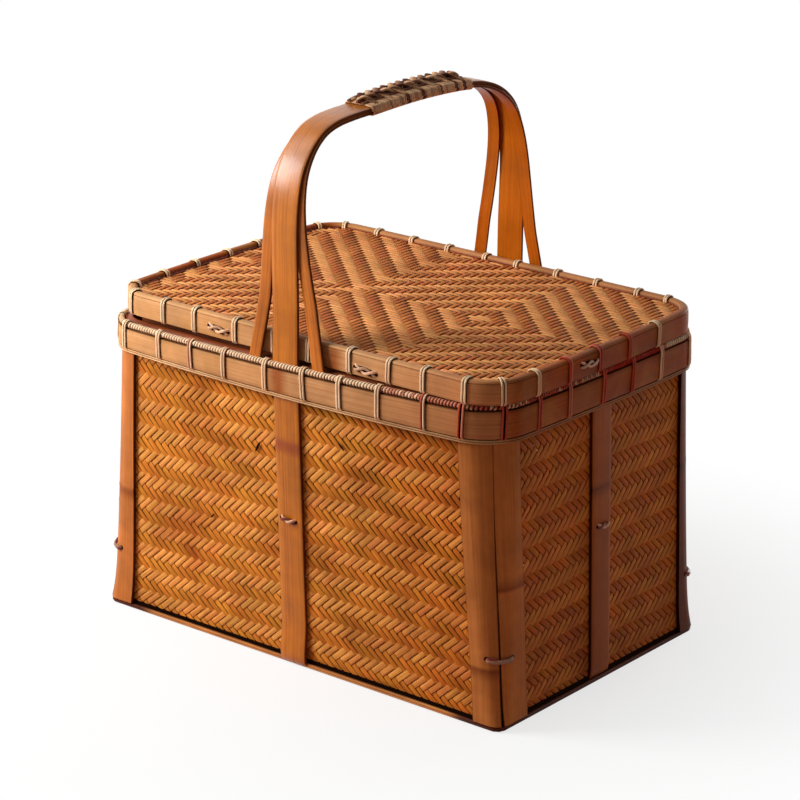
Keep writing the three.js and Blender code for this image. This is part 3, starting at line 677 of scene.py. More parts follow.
def woven_walls():
    middle = float(length_round(wall_plan((FLOOR_Z + BODY_TOP) / 2)))
    count = round(middle / (2 * WALL_CELL[0]))
    cell = cu, cv = middle / (2 * count), WALL_CELL[1]
    length = math.hypot(cu, cv)
    width = 2 * cu * cv / length
    across = strip_section(width / 2, STRIP_T)[:, 0]
    v_table = np.arange(*V_TABLE)
    for way, name in ((1, "rising"), (-1, "falling")):
        shape = Shape()
        for k in range(count):
            z_table = row_height(way * (v_table / cv - 2 * k - 1) * cu, v_table)
            low, high = np.interp(WEAVE_Z, z_table, v_table) / cv - (k + 0.5)
            p, h = over_under(low, high, k)
            half = strip_half(width) * rng.uniform(*STRIP_SPREAD)
            u, v, lift = diagonal_strip(way, k, p, h, cell, half)
            z = np.clip(row_height(u, v), *WEAVE_Z)
            s = u * length_round(wall_plan(z)) / middle
            rings = place(wall_plan, s, z, lift - WALL_SINK)
            # the tone is painted shade, deeper towards the right
            shape.tube(rings, p * length, across, rng.random(), weave_painted_shade(s, middle / 4), STRIP_PAINTED_SHADE)
        shape.make(f"weave_{name}_strips", name, "woven_bamboo", ["woven_body"], crease=60)


def weave_slit_shade():
    """Dark slits of painted shade where a strip's end has slipped."""
    shape = Shape()
    t = np.linspace(-1, 1, 7)
    taper = 0.15 + 0.85 * np.sqrt(np.clip(1 - t**2, 0, 1))
    for s, z, run, rise, half in SLITS:
        path = place(wall_plan, s + run * t, z + rise * t, STRIP_T + 0.3)
        shape.strand(path, outward(wall_plan, s, z), round_section(half, 0.3), 0.5, taper=taper)
    shape.make("weave_slit_shade", "gap", "woven_bamboo", ["woven_body"])


def woven_floor():
    pitch = FLOOR_PITCH
    half_u, half_v = BASE["hx"] - FLOOR_MARGIN, BASE["hy"] - FLOOR_MARGIN
    root = math.sqrt(0.5)
    span = (half_u + half_v) * root / pitch
    cell = (pitch * root, pitch * root)
    across = strip_section(pitch / 2, STRIP_T)[:, 0]
    shape = Shape()
    for way in (1, -1):
        for k in range(-math.floor(span), math.ceil(span)):
            mid = (k + 0.5) * pitch
            low = max(mid - half_u / root, -half_v / root - mid)
            high = min(mid + half_u / root, half_v / root - mid)
            if high - low < 2 * pitch:
                continue
            p, h = over_under(low / pitch, high / pitch, k)
            u, v, lift = diagonal_strip(way, k, p, h, cell, strip_half(pitch))
            u, v = np.clip(u, -half_u, half_u), np.clip(v, -half_v, half_v)
            rings = np.stack([u, v, FLOOR_Z + FLOOR / 2 + lift], -1)
            shape.tube(rings, p * pitch, across, rng.random(), flank=STRIP_PAINTED_SHADE)
    shape.make("weave_floor", "falling", "woven_bamboo", ["woven_body"], crease=60)


def reach(hx, r, hy, y):
    """Half width of a rounded rectangle at height y of its plan."""
    over = np.clip(abs(y) - (hy - r), 0, r)
    return hx - r + math.sqrt(max(r * r - over * over, 0.0))


def ring_number(i):
    """Which ring of the lid's pattern the cross strip i belongs to."""
    a = np.abs(i) % LID_FOLD
    return np.where(i < 0, np.minimum(a, LID_FOLD - a), np.abs(i))


def lid_strip_path(low, high, cells, level):
    """Places along a lid strip, in crossings, and its height there."""
    turns = np.nonzero(np.diff(level))[0]
    p, h = [], []
    for a, t in enumerate(turns):
        edge = cells[t] + 0.5
        if a:
            before = cells[turns[a - 1]] + 0.5
            p.append((before + edge) / 2)
            h.append(level[t] * (CREST if edge - before > 1.5 else 1.0))
        p += [edge - FLAT, edge + FLAT]
        h += [level[t], level[t + 1]]
    p, h = np.array(p), np.array(h)
    keep = np.concatenate([[True], np.diff(p) > 0.05])
    return cut_to(p[keep], h[keep], low, high, 0.1)


def lid_panel():
    inset = -LID_INNER - 0.4
    hx, hy, r = (LID[k] + inset for k in ("hx", "hy", "r"))
    centre = (LID_CENTRE[0] - LID["x"], LID_CENTRE[1])
    for long_way, name in ((True, "lid_weave_long_strips"), (False, "lid_weave_cross_strips")):
        shape = Shape()
        centre_run, centre_mid = centre if long_way else centre[::-1]
        step, pitch = LID_SPACING if long_way else LID_SPACING[::-1]
        run_half, mid_half, bow = (hx, hy, LID["bx"]) if long_way else (hy, hx, LID["by"])
        first = math.ceil((-mid_half - centre_mid) / pitch + 0.3)
        last = math.floor((mid_half - centre_mid) / pitch - 0.3)
        for k in range(first, last + 1):
            mid = centre_mid + k * pitch
            half = reach(run_half, r, mid_half, mid) + bow * max(0, 1 - (mid / mid_half) ** 2)
            low, high = (-half - centre_run) / step, (half - centre_run) / step
            cells = np.arange(math.floor(low) - 3, math.ceil(high) + 4)
            ring = ring_number(cells) + abs(k) if long_way else ring_number(k) + np.abs(cells)
            level = np.where((ring % (2 * FLOAT) < FLOAT) == long_way, 1.0, -1.0)
            p, h = lid_strip_path(low, high, cells, level)
            section = strip_section(strip_half(pitch) * LID_FILL, LID_STRIP_T, FULL_SIDE)
            run = np.broadcast_to(centre_run + p[:, None] * step, (len(p), len(section)))
            side = np.broadcast_to(mid + section[None, :, 0], run.shape)
            lift = LID_WEAVE_Z + h[:, None] * LID_LIFT + section[None, :, 1]
            rings = np.stack([run, side, lift] if long_way else [side, run, lift], -1)
            rings[..., 0] += LID["x"]
            # painted shade: darker on the narrow sides and where a strip dips under a crossing
            dark = CUSHION_PAINTED_SHADE[None, :] + 0.8 * ramp(h[:, None], 0.45, -0.45)
            shape.tube(rings, p * step, section[:, 0], rng.random(), flank=np.clip(dark, 0, 1))
        # the long strips take the painted-sheen colour, the cross strips the painted-shade colour
        wood = "lid_x_painted_sheen" if long_way else "lid_y_painted_shade"
        shape.make(name, wood, "woven_bamboo", ["lid_panel"], "lid", crease=60)
    low, high = LID_Z[0] + 0.6, LID_WEAVE_Z
    flange = [(-LID_BEND, low), (-LID_INNER, low), (-LID_INNER, high), (-LID_BEND, high)]
    # the flange takes the cross strips' painted-shade colour
    hoop("lid_panel_flange", lid_plan, flange, "lid_y_painted_shade", "woven_bamboo", ["lid_panel"], "lid", steps=160)


# Hoops

def hoop(name, plan_at, profile, material, slot, nodes, body="basket", steps=420, joints=(), crease=40.0,
         flank=0.0, darker=None):
    """A band carried round a plan, its profile being pairs of (off, z). joints are the places s of bamboo
    joints on it, which show darker, and darker, where given, adds painted shade to the tone at each place s."""
    profile = np.asarray(profile, float)
    off, z = profile.T
    total = float(length_round(plan_at(z.mean())))
    turn = np.arange(steps) / steps
    s = turn[:, None] * length_round(plan_at(z))[None, :]
    tone = np.zeros(steps)
    for at in joints:
        away = np.abs((turn * total - at + total / 2) % total - total / 2)
        tone = np.maximum(tone, np.clip(1.3 - away / 8, 0, 1) * 0.8)
    # painted shade added to the tone at each place s
    if darker:
        tone = np.maximum(tone, darker((turn + 0.5) % 1 * total - total / 2, total / 4))
    shape = Shape()
    shape.tube(place(plan_at, s, z, off), turn * total, z - z.mean(), 0.3, tone, flank, closed=True)
    shape.make(name, material, slot, nodes, body, crease)


def painted_shade_right(s, quarter):
    """Painted shade on the hoops: browner along the front towards the right, and round the right side, where
    less light falls.
    """
    front = np.interp(s, (-120, -60, 60, 100, 140, quarter), (0, 0.07, 0.12, 0.32, 0.5, 0.52), right=0.1)
    side = ramp(s - quarter, -116, -96) * ramp(s - quarter, 125, 95)
    return np.maximum(front, side)


def filler_painted_shade(s, quarter):
    """Painted shade on the strip that covers the lid's edge: brown on the left, whose inner side is seen in
    shade, and on the right, and tan behind.
    """
    left = ramp(s + quarter, 112, 97) * ramp(s + quarter, -140, -110)
    return np.maximum(painted_shade_right(s, quarter) * 0.9, np.maximum(left, 0.5 * (np.abs(s) > quarter)))


def base_painted_shadow_tone(s, quarter):
    """Painted shadow on the strip round the base: pale along the front, dark at the corners and at the
    right, where it lies in the shadow under the slats' feet.
    """
    past_quarter = np.abs(s) - quarter
    front = np.maximum(ramp(past_quarter, -150, -140), ramp(np.abs(s + 152), 20, 12) * 0.8)
    return np.maximum(0, front - ramp(past_quarter, 130, 140))


def crowned(off, crown, low, rise, shares):
    """The outer face of a hoop, slightly crowned."""
    return [(off + crown * (1 - (2 * t - 1) ** 2), low + rise * t) for t in shares]


def band(o0, o1, z0, z1, ease=0.5, crown=0.25):
    """Section of a bamboo hoop: a tall thin bar, its outer face crowned and its edges eased."""
    rows = [(o1 - ease, z0), (o1 - ease * 0.3, z0 + ease * 0.3), (o1, z0 + ease)]
    rows += crowned(o1, crown, z0, z1 - z0, (0.2, 0.4, 0.6, 0.8))
    rows += [(o1, z1 - ease), (o1 - ease * 0.3, z1 - ease * 0.3), (o1 - ease, z1)]
    return rows + [(o0 + 0.2, z1), (o0, z1 - 0.2), (o0, z0 + 0.2), (o0 + 0.2, z0)]


def make_rim_hoops():
    # the rim hoop's tone is darker joints and painted shade towards the right; its lower edge and inner face
    # get painted shade
    hoop("rim_hoop", wall_plan, band(SLOT, HOOP_OUT, *HOOP_Z), "hoop", "hoop_bamboo", ["outer_rim_hoop"],
         joints=(-2.0, 430.0, 760.0), darker=painted_shade_right,
         flank=(1, 0.5, 0, 0, 0, 0, 0, 0.3, 1, 1, 1, 1, 1, 1))
    # the inner hoop takes the dark bamboo colour as painted shade
    inner = band(-WALL - GAP - HOOP, -WALL - GAP, HOOP_Z[0] + 1, HOOP_Z[1])
    hoop("rim_inner_hoop", wall_plan, inner, "dark", "dark_bamboo", ["inner_rim_hoop"])
    low, high = LOWER_STRIP_Z
    middle = (low + high) / 2
    strands = [(SLOT, low), (HOOP_OUT - 0.9, low), (HOOP_OUT - 0.1, low + 0.45), (HOOP_OUT, low + 0.8),
               (HOOP_OUT - 0.15, middle - 0.3), (HOOP_OUT - 0.7, middle), (HOOP_OUT - 0.1, middle + 0.3),
               (HOOP_OUT + 0.1, high - 0.7), (HOOP_OUT, high - 0.3), (HOOP_OUT - 0.7, high), (SLOT, high)]
    # the lower strand's grooves and back get painted shade, and it is browner towards the right as painted
    # shade
    hoop("rim_bottom_strand", wall_plan, strands, "pale", "hoop_bamboo", ["rim_lower_strip"], crease=50,
         flank=(1, 1, 0, 0, 0.2, 1, 0, 0, 0, 1, 1), darker=painted_shade_right)
    # the inner half of the rim's top binding, under the lid, in the dark bamboo colour as painted shade
    top = [(-5.1, 218.6), (0.4, 218.6), (0.5, 220.3), (-0.3, 221.0), (-1.8, 221.9), (-2.8, 222.7),
           (-4.6, 222.9), (-5.1, 222.3)]
    hoop("rim_top_strip", wall_plan, top, "dark", "dark_bamboo", ["rim_rattan_binding"])


def make_lid_hoops():
    low, high = LID_Z
    face = [(-HOOP, low), (-0.4, low), (0, low + 0.4), *crowned(0, 0.25, low, 12, (0.2, 0.5, 0.8)),
            (0, high - 0.9), (-0.12, high - 0.3), (-0.6, high), (-HOOP, high)]
    # the lid hoop's tone is darker joints and painted shade towards the right; its underside and inner top
    # edge get painted shade
    hoop("lid_hoop", lid_plan, face, "hoop", "hoop_bamboo", ["lid_outer_hoop"], "lid", joints=(34.5, 640.0),
         flank=(1, 1, 0, 0, 0, 0, 0, 0.1, 0.4, 1), darker=painted_shade_right)
    # the lid's inner and locating bands take the dark bamboo colour as painted shade
    under = LID_PANEL_LOW - GAP
    inner = band(-LID_BEND - GAP - 2.2, -LID_BEND - GAP, low + 0.6, under)
    hoop("lid_inner_band", lid_plan, inner, "dark", "dark_bamboo", ["lid_inner_hoop"], "lid")
    locating = band(-HOOP, 0, LOCATOR_LOW, under)
    hoop("lid_locating_band", locator_plan, locating, "dark", "dark_bamboo", ["lid_locating_hoop"], "lid")
    low = LID_WEAVE_Z - 0.6
    step = high + 0.1
    top = FILLER_TOP
    filler = [(FILLER_IN, low), (-LID_INNER, low), (-LID_INNER, step), (-0.4, step), (-0.2, step + 0.3),
              (-0.4, step + 0.9), (-0.9, top - 0.4), (-1.7, top), (-3.4, top + 0.1), (-5.0, top),
              (-5.9, top - 0.4), (-6.4, top - 1.1), (FILLER_IN, top - 1.8)]
    # the edge strip's tone is painted shade on the left and the right, and its inner faces get painted shade
    hoop("lid_edge_strip", lid_plan, filler, "hoop", "slat_bamboo", ["lid_edge_filler"], "lid",
         flank=(0.6, 1, 1, 0.3, 0, 0, 0, 0, 0, 0, 0, 0, 0.3), darker=filler_painted_shade)


def make_base_edge():
    """The thin strip round the foot of the walls, and a dark band of painted shade in the gap between it and
    the weave.
    """
    strip = [(0.9, 0.3), (2.2, 0.3), (2.7, 0.7), (2.8, 1.5), (2.5, 1.85), (2.75, 2.2), (2.7, 2.9),
             (2.2, 3.4), (0.9, 3.4)]
    # profile of the dark band of painted shade between the base strip and the weave
    gap = [(-1.9, 0.9), (0.9, 0.9), (0.9, 3.1), (0.35, 3.4), (0.3, 5.7), (-0.4, 6.0), (-1.9, 6.0)]
    sides = [f"base_edge_strip_{side}" for side in ("front", "back", "left", "right")]
    # the base strip's tone and its narrow sides are painted shade
    hoop("base_strip", wall_plan, strip, "edge_strip", "dark_bamboo", sides,
         flank=(1, 1, 0, 0, 0.8, 0, 0, 0.6, 1), darker=base_painted_shadow_tone)
    hoop("base_gap_painted_shade", wall_plan, gap, "gap", "dark_bamboo", sides)


# Slats

SLAT_MID = GAP + SLAT / 2  # a slat's middle line, off the wall
JOINT_RING = (0.3, 1.2)  # height of the low ring at a joint, and its reach up and down
JOINT_BAND = (9, -1.5)  # how far below a joint its dark band ends, and where it starts
JOINT_DARK = 0.75
SEAM_OPEN = (0.06, 0.4)  # how open a corner's seam is at the rim, and how much more at the foot
CORNER_COLUMNS = 10  # faces across a corner slat
SEAM_LEAN = {"front_right": (1.9, 0.2)}  # place of the seam off the diagonal, at the foot and at the rim
CORNERS = {  # halves on the face and on the side: widths at the foot and at the rim, height of a joint
    "front_left": (((19.0, 19.5), 91), ((19.0, 19.5), 78)),
    "front_right": (((19.1, 21.2), 42), ((24.4, 17.2), -96)),
    "back_right": (((19.0, 19.5), 64), ((15.5, 16.5), 128)),
    "back_left": (((19.0, 19.5), 120), ((19.0, 19.5), 40)),
}


def down_wall(foot):
    """The middle line of a slat down the wall, as (off, z), with rows for its foot."""
    return smooth_path([(SLAT_MID, z) for z in (SLAT_TOP, 196, 155, 115, 75, 45, 30)] + foot, 2.5)


def joint_marks(z, joints):
    """Low ring and dark band where a joint crosses a slat. A joint's height is negative where the band
    fades upwards from it in place of downwards."""
    swell, dark = 0 * z, 0 * z
    for at in joints:
        below = (abs(at) - z) * (1 if at > 0 else -1)
        swell = swell + JOINT_RING[0] * np.exp(-(((z - abs(at)) / JOINT_RING[1]) ** 2))
        dark = dark + ramp(below, JOINT_BAND[0], 0) * ramp(below, JOINT_BAND[1], 0) * JOINT_DARK
    return swell, dark


def raised(section, swell):
    """Heights round a section along a slat, its outer face raised by swell."""
    return section[None, :, 1] + swell[:, None] * (section[None, :, 1] > 0)


def to_left(rows):
    """Plane vectors turned a quarter."""
    return np.stack([-rows[:, 1], rows[:, 0]], -1)


def corner_slat(shape, corner, towards, widths, joint, seed):
    """A half-slat from the seam on the corner's diagonal, ending just above the base strip. towards is
    +1 or -1 along s."""
    line = down_wall([(SLAT_MID + 0.3, 18), (SLAT_MID + 0.9, 8), (SLAT_MID + 1.1, 3.9)])
    out = to_left(tangents(line))[:, None]
    section = slat_section(2.0, SLAT, crown=0.15, edge=0.06, columns=CORNER_COLUMNS)
    height = line[:, 1]
    t = ramp(height, 0, SLAT_TOP)
    width = widths[0] + (widths[1] - widths[0]) * t
    swell, dark = joint_marks(height, (joint,))
    open_seam = SEAM_OPEN[0] + SEAM_OPEN[1] * (1 - t) ** 2 + 0.06 * np.sin(height * 0.05 + seed * 9)
    across = open_seam[:, None] + (section[None, :, 0] + 1) / 2 * (width - open_seam)[:, None]
    up = raised(section, swell)
    off = line[:, :1] + out[..., 0] * up
    z = np.maximum(line[:, 1:] + out[..., 1] * up, 0.0)
    foot, top = SEAM_LEAN.get(corner, (0.0, 0.0))
    seam = (foot + (top - foot) * t + 0.25 * np.sin(height * 0.035))[:, None]
    rings = place(wall_plan, corner_s(wall_plan, corner, z) + seam + towards * across, z, off)
    flank = np.tile(slat_flank(CORNER_COLUMNS), (len(line), 1))
    # painted shade in the seam, full at the foot and fading towards the rim
    flank[:, section[:, 0] < 0] *= np.clip(1.3 - 1.6 * t, 0.15, 1)[:, None]
    shape.tube(rings, run_lengths(line), section[:, 0] * 10, seed, dark, flank)


def make_corner_slats():
    for number, (corner, halves) in enumerate(CORNERS.items()):
        way = 1 if corner in ("front_left", "back_right") else -1
        for part, (widths, joint) in zip((corner.split("_")[0], "side"), halves):
            side = part == "side"
            shape = Shape()
            seed = 0.1 + 0.17 * number + (0.06 if side else 0)
            corner_slat(shape, corner, -way if side else way, widths, joint, seed)
            wood = "slat"
            # painted shade: the back right corner takes the darker copies of the slat colour, darkest on its
            # side half
            if corner == "back_right":
                wood = "slat_painted_deep_shade_copy" if side else "slat_painted_shade_copy"
            shape.make(f"slat_{corner}_{part}", wood, "slat_bamboo", [f"corner_{corner}_slat_{part}"])


def sweep_slat(shape, path, width, thick, across, seed, joints=(), tone=None, crown=0.35, columns=8):
    """A strip of bamboo along a path, its width along the fixed direction across. tone is given for
    each point of the path where it doesn't come from joints."""
    across = np.broadcast_to(np.asarray(across, float), path.shape)
    out = unit(np.cross(tangents(path), across))
    if np.einsum("ij,ij->", out, path - path.mean(0)) < 0:
        out = -out
    section = slat_section(width, thick, crown, columns=columns)
    swell, dark = joint_marks(path[:, 2], joints)
    up = raised(section, swell)
    rings = path[:, None] + across[:, None] * section[None, :, :1] + out[:, None] * up[..., None]
    rings[..., 2] = np.maximum(rings[..., 2], 0.0)
    tone = dark if tone is None else tone
    shape.tube(rings, run_lengths(path), section[:, 0], seed, tone, slat_flank(columns))


def make_side_slats():
    """The side's centre slats, tucked in behind the base strip and folded in under the floor."""
    foot = [(SLAT_MID, 20), (SLAT_MID, 12), (SLAT_MID - 0.6, 7), (SLAT_MID - 2.4, 3), (-SIDE_FOLD, SLAT / 2)]
    off, z = down_wall(foot).T
    plan = wall_plan(z)
    # the right centre slat takes the painted-shade copy of the slat colour
    for side, sign, joint, wood in (("left", -1, 88, "slat"), ("right", 1, 141, "slat_painted_shade_copy")):
        path = np.stack([sign * (plan["hx"] + plan["bx"] + off), 0 * off, z], -1)
        shape = Shape()
        sweep_slat(shape, path, CENTRE_SLAT_W, SLAT, (0, 1, 0), 0.72 + 0.05 * sign, (joint,))
        shape.make(f"slat_{side}_centre", wood, "slat_bamboo", [f"{side}_centre_slat"])


# Handle

HANDLE_JOINTS = ((-1, 161), (1, 66))  # side, -1 being the front, and height
ARCH = smooth_path(ARCH_FRONT + ARCH_BACK[::-1], 2.0)  # the middle line from front to back, as (y, z)


def centre_y(z, off):
    """Half depth of the basket at x = 0."""
    plan = wall_plan(z)
    return plan["hy"] + plan["by"] + off * (1 + plan["by"] / plan["hy"])


def handle_leg():
    """Middle line of the strip down the wall and under the floor, as (y, z). It passes outside the base
    strip."""
    clear = EDGE_STRIP + GAP
    stands = [GAP + clear * share for share in (0.5, 1, 1)]
    foot = [(stand + SLAT / 2, z) for stand, z in zip(stands, (20, 10, 5.6))]
    stand = stands[-1]
    foot += [(stand + SLAT * 0.36, 3.2), (stand - 0.3, 1.75), (stand - 2.6, SLAT / 2), (0.0, SLAT / 2)]
    off, z = down_wall(foot).T
    leg = np.stack([centre_y(z, off), z], -1)
    return np.concatenate([leg, [[leg[-1, 0] - 30, SLAT / 2], [40, SLAT / 2], [0.6, SLAT / 2]]])


def make_handle():
    leg = handle_leg()
    y, z = smooth_path(np.concatenate([leg[::-1] * (-1, 1), ARCH, leg]), 3.0).T
    path = np.stack([0 * y, y, z], -1)
    tone = 0 * y
    for side, at in HANDLE_JOINTS:
        tone = np.maximum(tone, (np.sign(y) == side) * np.clip(1.3 - np.abs(z - at) / 5, 0, 0.85))
    shape = Shape()
    sweep_slat(shape, path, CENTRE_SLAT_W, STRIP, (1, 0, 0), 0.44, tone=tone, crown=0.4, columns=10)
    shape.make("handle_strip", "handle", "handle_bamboo", ["handle_main_strip"])
    width, thick = BRACE["width"], BRACE["thick"]
    inner = ARCH - (STRIP / 2 + GAP + thick / 2) * to_left(tangents(ARCH))
    low = np.array(BRACE_FOOT)
    ends = np.stack([centre_y(low, SLAT_MID), low], -1)
    y, z = smooth_path(np.concatenate([ends * (-1, 1), inner, ends[::-1]]), 3.0).T
    for number, (side, (front, back)) in enumerate(BRACE_X.items()):
        x = np.where(y < 0, np.interp(z, BRACE_Z, front), np.interp(z, BRACE_Z, back))
        x = np.convolve(np.pad(x, 7, mode="edge"), np.ones(15) / 15, mode="valid")
        shape = Shape()
        path = np.stack([x, y, z], -1)
        sweep_slat(shape, path, width, thick, (1, 0, 0), 0.5 + 0.2 * number, crown=0.25, columns=6)
        shape.make(f"handle_brace_{side}", "handle", "handle_bamboo", [f"handle_{side}_brace"])


def arch_frame(y):
    """Point and outward normal of the handle's middle line at a given y near the top."""
    keep = ARCH[:, 1] > 340
    along = tangents(ARCH)
    z, ty, tz = (np.interp(y, ARCH[keep, 0], v[keep]) for v in (ARCH[:, 1], along[:, 0], along[:, 1]))
    return np.stack([0 * y, y, z], -1), np.stack([0 * y, -tz, ty], -1)


GRIP_TURNS = 62
GRIP_STEPS = 24  # points in a turn
GRIP_STRAND = (0.8, 0.66)  # half width, half thickness
GRIP_ROOM = (0.1, 0.15)  # from the strips to the winding, above and below them and beside them
TAN_TURNS = (0.22, 0.45)  # share of the turns that are tan, and their tone
BROWN_TURNS = [21, 22, 30, 31, 42, 51, 52, 56, 57]
BRAID_STRAND = (2.2, 0.9)  # half width, half thickness
BRAID_TONES = (0.0, 0.95, 0.5)
BRAID_SWING = 4.2  # how far a strand of the braid swings to each side
BRAID_WAVE = (1.9, 1.4)  # its middle height, and how far it rises and dips
RIDGE_Y = (-50.0, 58.0)
RIDGE_FADE = 7  # length over which the ridge thins at its ends
RIDGE_PERIOD = 24.0
RIDGE_X = -2.4
RIDGE_LIFT = STRIP / 2 + 1.25
RIDGE_SIDES = ((RIDGE_X - 5.6, 1.7), (RIDGE_X + 5.8, 0.55))  # x and height of the cords beside the braid
RIDGE_CORD = (1.5, 0.9)  # half width, half thickness
LASH_Y = (-45.0, 50.0)
LASH_STRAND = (0.52, 0.55)  # half width, half thickness
LASH_STEP = 15.5
LASH_PITCH = 1.35  # from one strand of a lash to the next
LASH_PATH = np.array([  # aside, up and along, from the ridge down into the winding
    (0.5, 4.6, -2.0), (2.8, 4.4, -0.8), (5.4, 2.9, 0.6), (7.8, 1.9, 1.6), (9.4, 1.35, 2.0), (10.3, 0.2, 2.2),
])


def make_grip():
    t = np.arange(GRIP_TURNS * GRIP_STEPS + 1) / GRIP_STEPS
    point, out = arch_frame(GRIP_Y[0] + (GRIP_Y[1] - GRIP_Y[0]) * t / GRIP_TURNS)
    half_w, half_t = GRIP_STRAND
    top = STRIP / 2 + half_t + GRIP_ROOM[0]
    bottom = -(STRIP / 2 + GAP + BRACE["thick"]) - half_t - GRIP_ROOM[0]
    half_h, mid = (top - bottom) / 2, (top + bottom) / 2
    side = CENTRE_SLAT_W / 2 + half_t + GRIP_ROOM[1]
    c, s = np.cos(t * TURN), np.sin(t * TURN)
    k = (np.abs(c) ** 8 + np.abs(s) ** 8) ** (-1 / 8)
    path = point + along_x(side * c * k) + out * (mid + half_h * s * k)[:, None]
    normal = along_x(c * np.abs(c) ** 3 / side) + out * (s * np.abs(s) ** 3 / half_h)[:, None]
    tint = np.where(rng.random(GRIP_TURNS + 1) < TAN_TURNS[0], TAN_TURNS[1], 0.0)
    tint[BROWN_TURNS] = 1.0
    tone = tint[t.astype(int)]
    shape = Shape()
    shape.strand(path, normal, round_section(half_w, half_t), np.floor(t) / GRIP_TURNS, tone, CORD_PAINTED_SHADE)
    shape.make("grip_strand", "grip", "rattan_cane", ["grip_winding"])


def make_ridge():
    """Three flat strands braided along the top of the grip, between two cords."""
    start, stop = RIDGE_Y
    y = np.arange(start, stop, 0.9)
    point, out = arch_frame(y)
    fade = np.sqrt(np.clip(np.minimum(y - (start - 1), stop + 1 - y) / RIDGE_FADE, 0.02, 1))
    section, across = round_section(*BRAID_STRAND, power=0.8), round_section(*BRAID_STRAND)[:, 0]
    shape = Shape()
    for strand, tone in enumerate(BRAID_TONES):
        a = TURN * (y / RIDGE_PERIOD + strand / 3)
        lift = RIDGE_LIFT + 0.4 + (BRAID_WAVE[0] + BRAID_WAVE[1] * np.sin(2 * a)) * fade
        path = point + along_x(RIDGE_X + BRAID_SWING * np.sin(a) * fade) + out * lift[:, None]
        rings = cord_rings(path, out, section)
        shape.tube(rings, run_lengths(path), across, 0.2 + 0.3 * strand, tone, 0.7 * CORD_PAINTED_SHADE)
    for x, height in RIDGE_SIDES:
        path = point + np.array([x, 0, 0]) + out * (RIDGE_LIFT + height * fade)[:, None]
        shape.strand(path, out, round_section(*RIDGE_CORD), 0.9, 0.9)
    shape.make("grip_braid", "grip", "dark_rattan", ["grip_braid_ridge"])


def make_lashes():
    """Threes of strands that cross the ridge and run down into the winding."""
    shape = Shape()
    aside, rise, along = LASH_PATH.T
    for number, y in enumerate(np.arange(*LASH_Y, LASH_STEP)):
        for twin in (0, 1, 2):
            for way, lag, share in ((-1, LASH_STEP / 2, 0.6), (1, 0, 1.0)):
                side = aside * way
                side = side + RIDGE_X * np.clip(1.3 - np.abs(side) / 9, 0, 1)
                point, out = arch_frame(y + LASH_PITCH * twin + lag + along)
                up = rise * share + STRIP / 2
                path = smooth_path(point + along_x(side) + out * up[:, None], 1.1)
                tone = 0.0 if number % 3 else 0.5
                section = round_section(*LASH_STRAND)
                shape.strand(path, (0, 0.15, 1), section, rng.random(), tone, 0.8 * CORD_PAINTED_SHADE)
    shape.make("grip_lashes", "grip", "rattan_cane", ["grip_winding"])


# Rattan bindings

EDGE_TURN = 2.45  # pitch of the winding on the rim's top edge
EDGE_STEPS = 10  # points in a turn
EDGE_OFF = 3.05  # its middle, off the wall
EDGE_REACH = (2.2, 2.25)  # its reach outwards and up from there
EDGE_STRAND = (0.9, 0.42)  # half width, half thickness
STRAY_CREAM = 0.10  # share of the turns that are cream in a red stretch
STRAY_RED = 0.3  # share of the turns that are red in a mixed stretch
RED_FRONT = (  # how red it is from one place to another
    (81, 97, 0.4), (97, 114, 0.1), (114, 142, 0.75), (142, 147, 0.1), (147, 165, 0.85), (165, 176, 0.2),
)
RED_RIGHT = ((-29, -8, 0.3), (-8, 62, 1), (62, 70, 0.4))  # the same, from the middle of the right side


def edge_tone(s, total):
    """How red the rim's winding is at a place s: cream on the front left, the left and the back,
    red at the near corner and on the right side, with mixed patches between."""
    q = total / 4
    x = (s + total / 2) % total - total / 2
    red = 0.0 * x
    right = [(q + low, q + high, share) for low, high, share in RED_RIGHT]
    for low, high, share in [*RED_FRONT, (RED_FRONT[-1][1], right[0][0], 0.9), *right]:
        red = np.where((x > low) & (x < high), share, red)
    return red


def make_rim_winding():
    total = float(length_round(wall_plan(RIM_EDGE_Z[0])))
    turns = round(total / EDGE_TURN)
    i = np.arange(turns * EDGE_STEPS)
    s = i / len(i) * total
    a = i / EDGE_STEPS * TURN
    z = sum(RIM_EDGE_Z) / 2
    aside, up = (reach - EDGE_STRAND[1] for reach in EDGE_REACH)
    path = place(wall_plan, s, z + up * np.sin(a), EDGE_OFF + aside * np.cos(a))
    section = round_section(*EDGE_STRAND)
    rings = closed_rings(path, path - place(wall_plan, s, z, EDGE_OFF), section)
    turn_number = np.floor(i / EDGE_STEPS)
    flips = rng.random(turns + 1)[turn_number.astype(int)]
    tone = edge_tone(s, total)
    tone = np.where((tone > 0.5) & (flips < STRAY_CREAM), 0.1, tone)
    tone = np.where((tone > 0.05) & (tone < 0.5) & (flips > 1 - STRAY_RED), 0.7, tone)
    shape = Shape()
    shape.tube(rings, s * 3, section[:, 0], turn_number / turns, tone, 0.7 * CORD_PAINTED_SHADE, closed=True)
    shape.make("rim_edge_winding", "cream", "rattan_cane", ["rim_rattan_binding"])


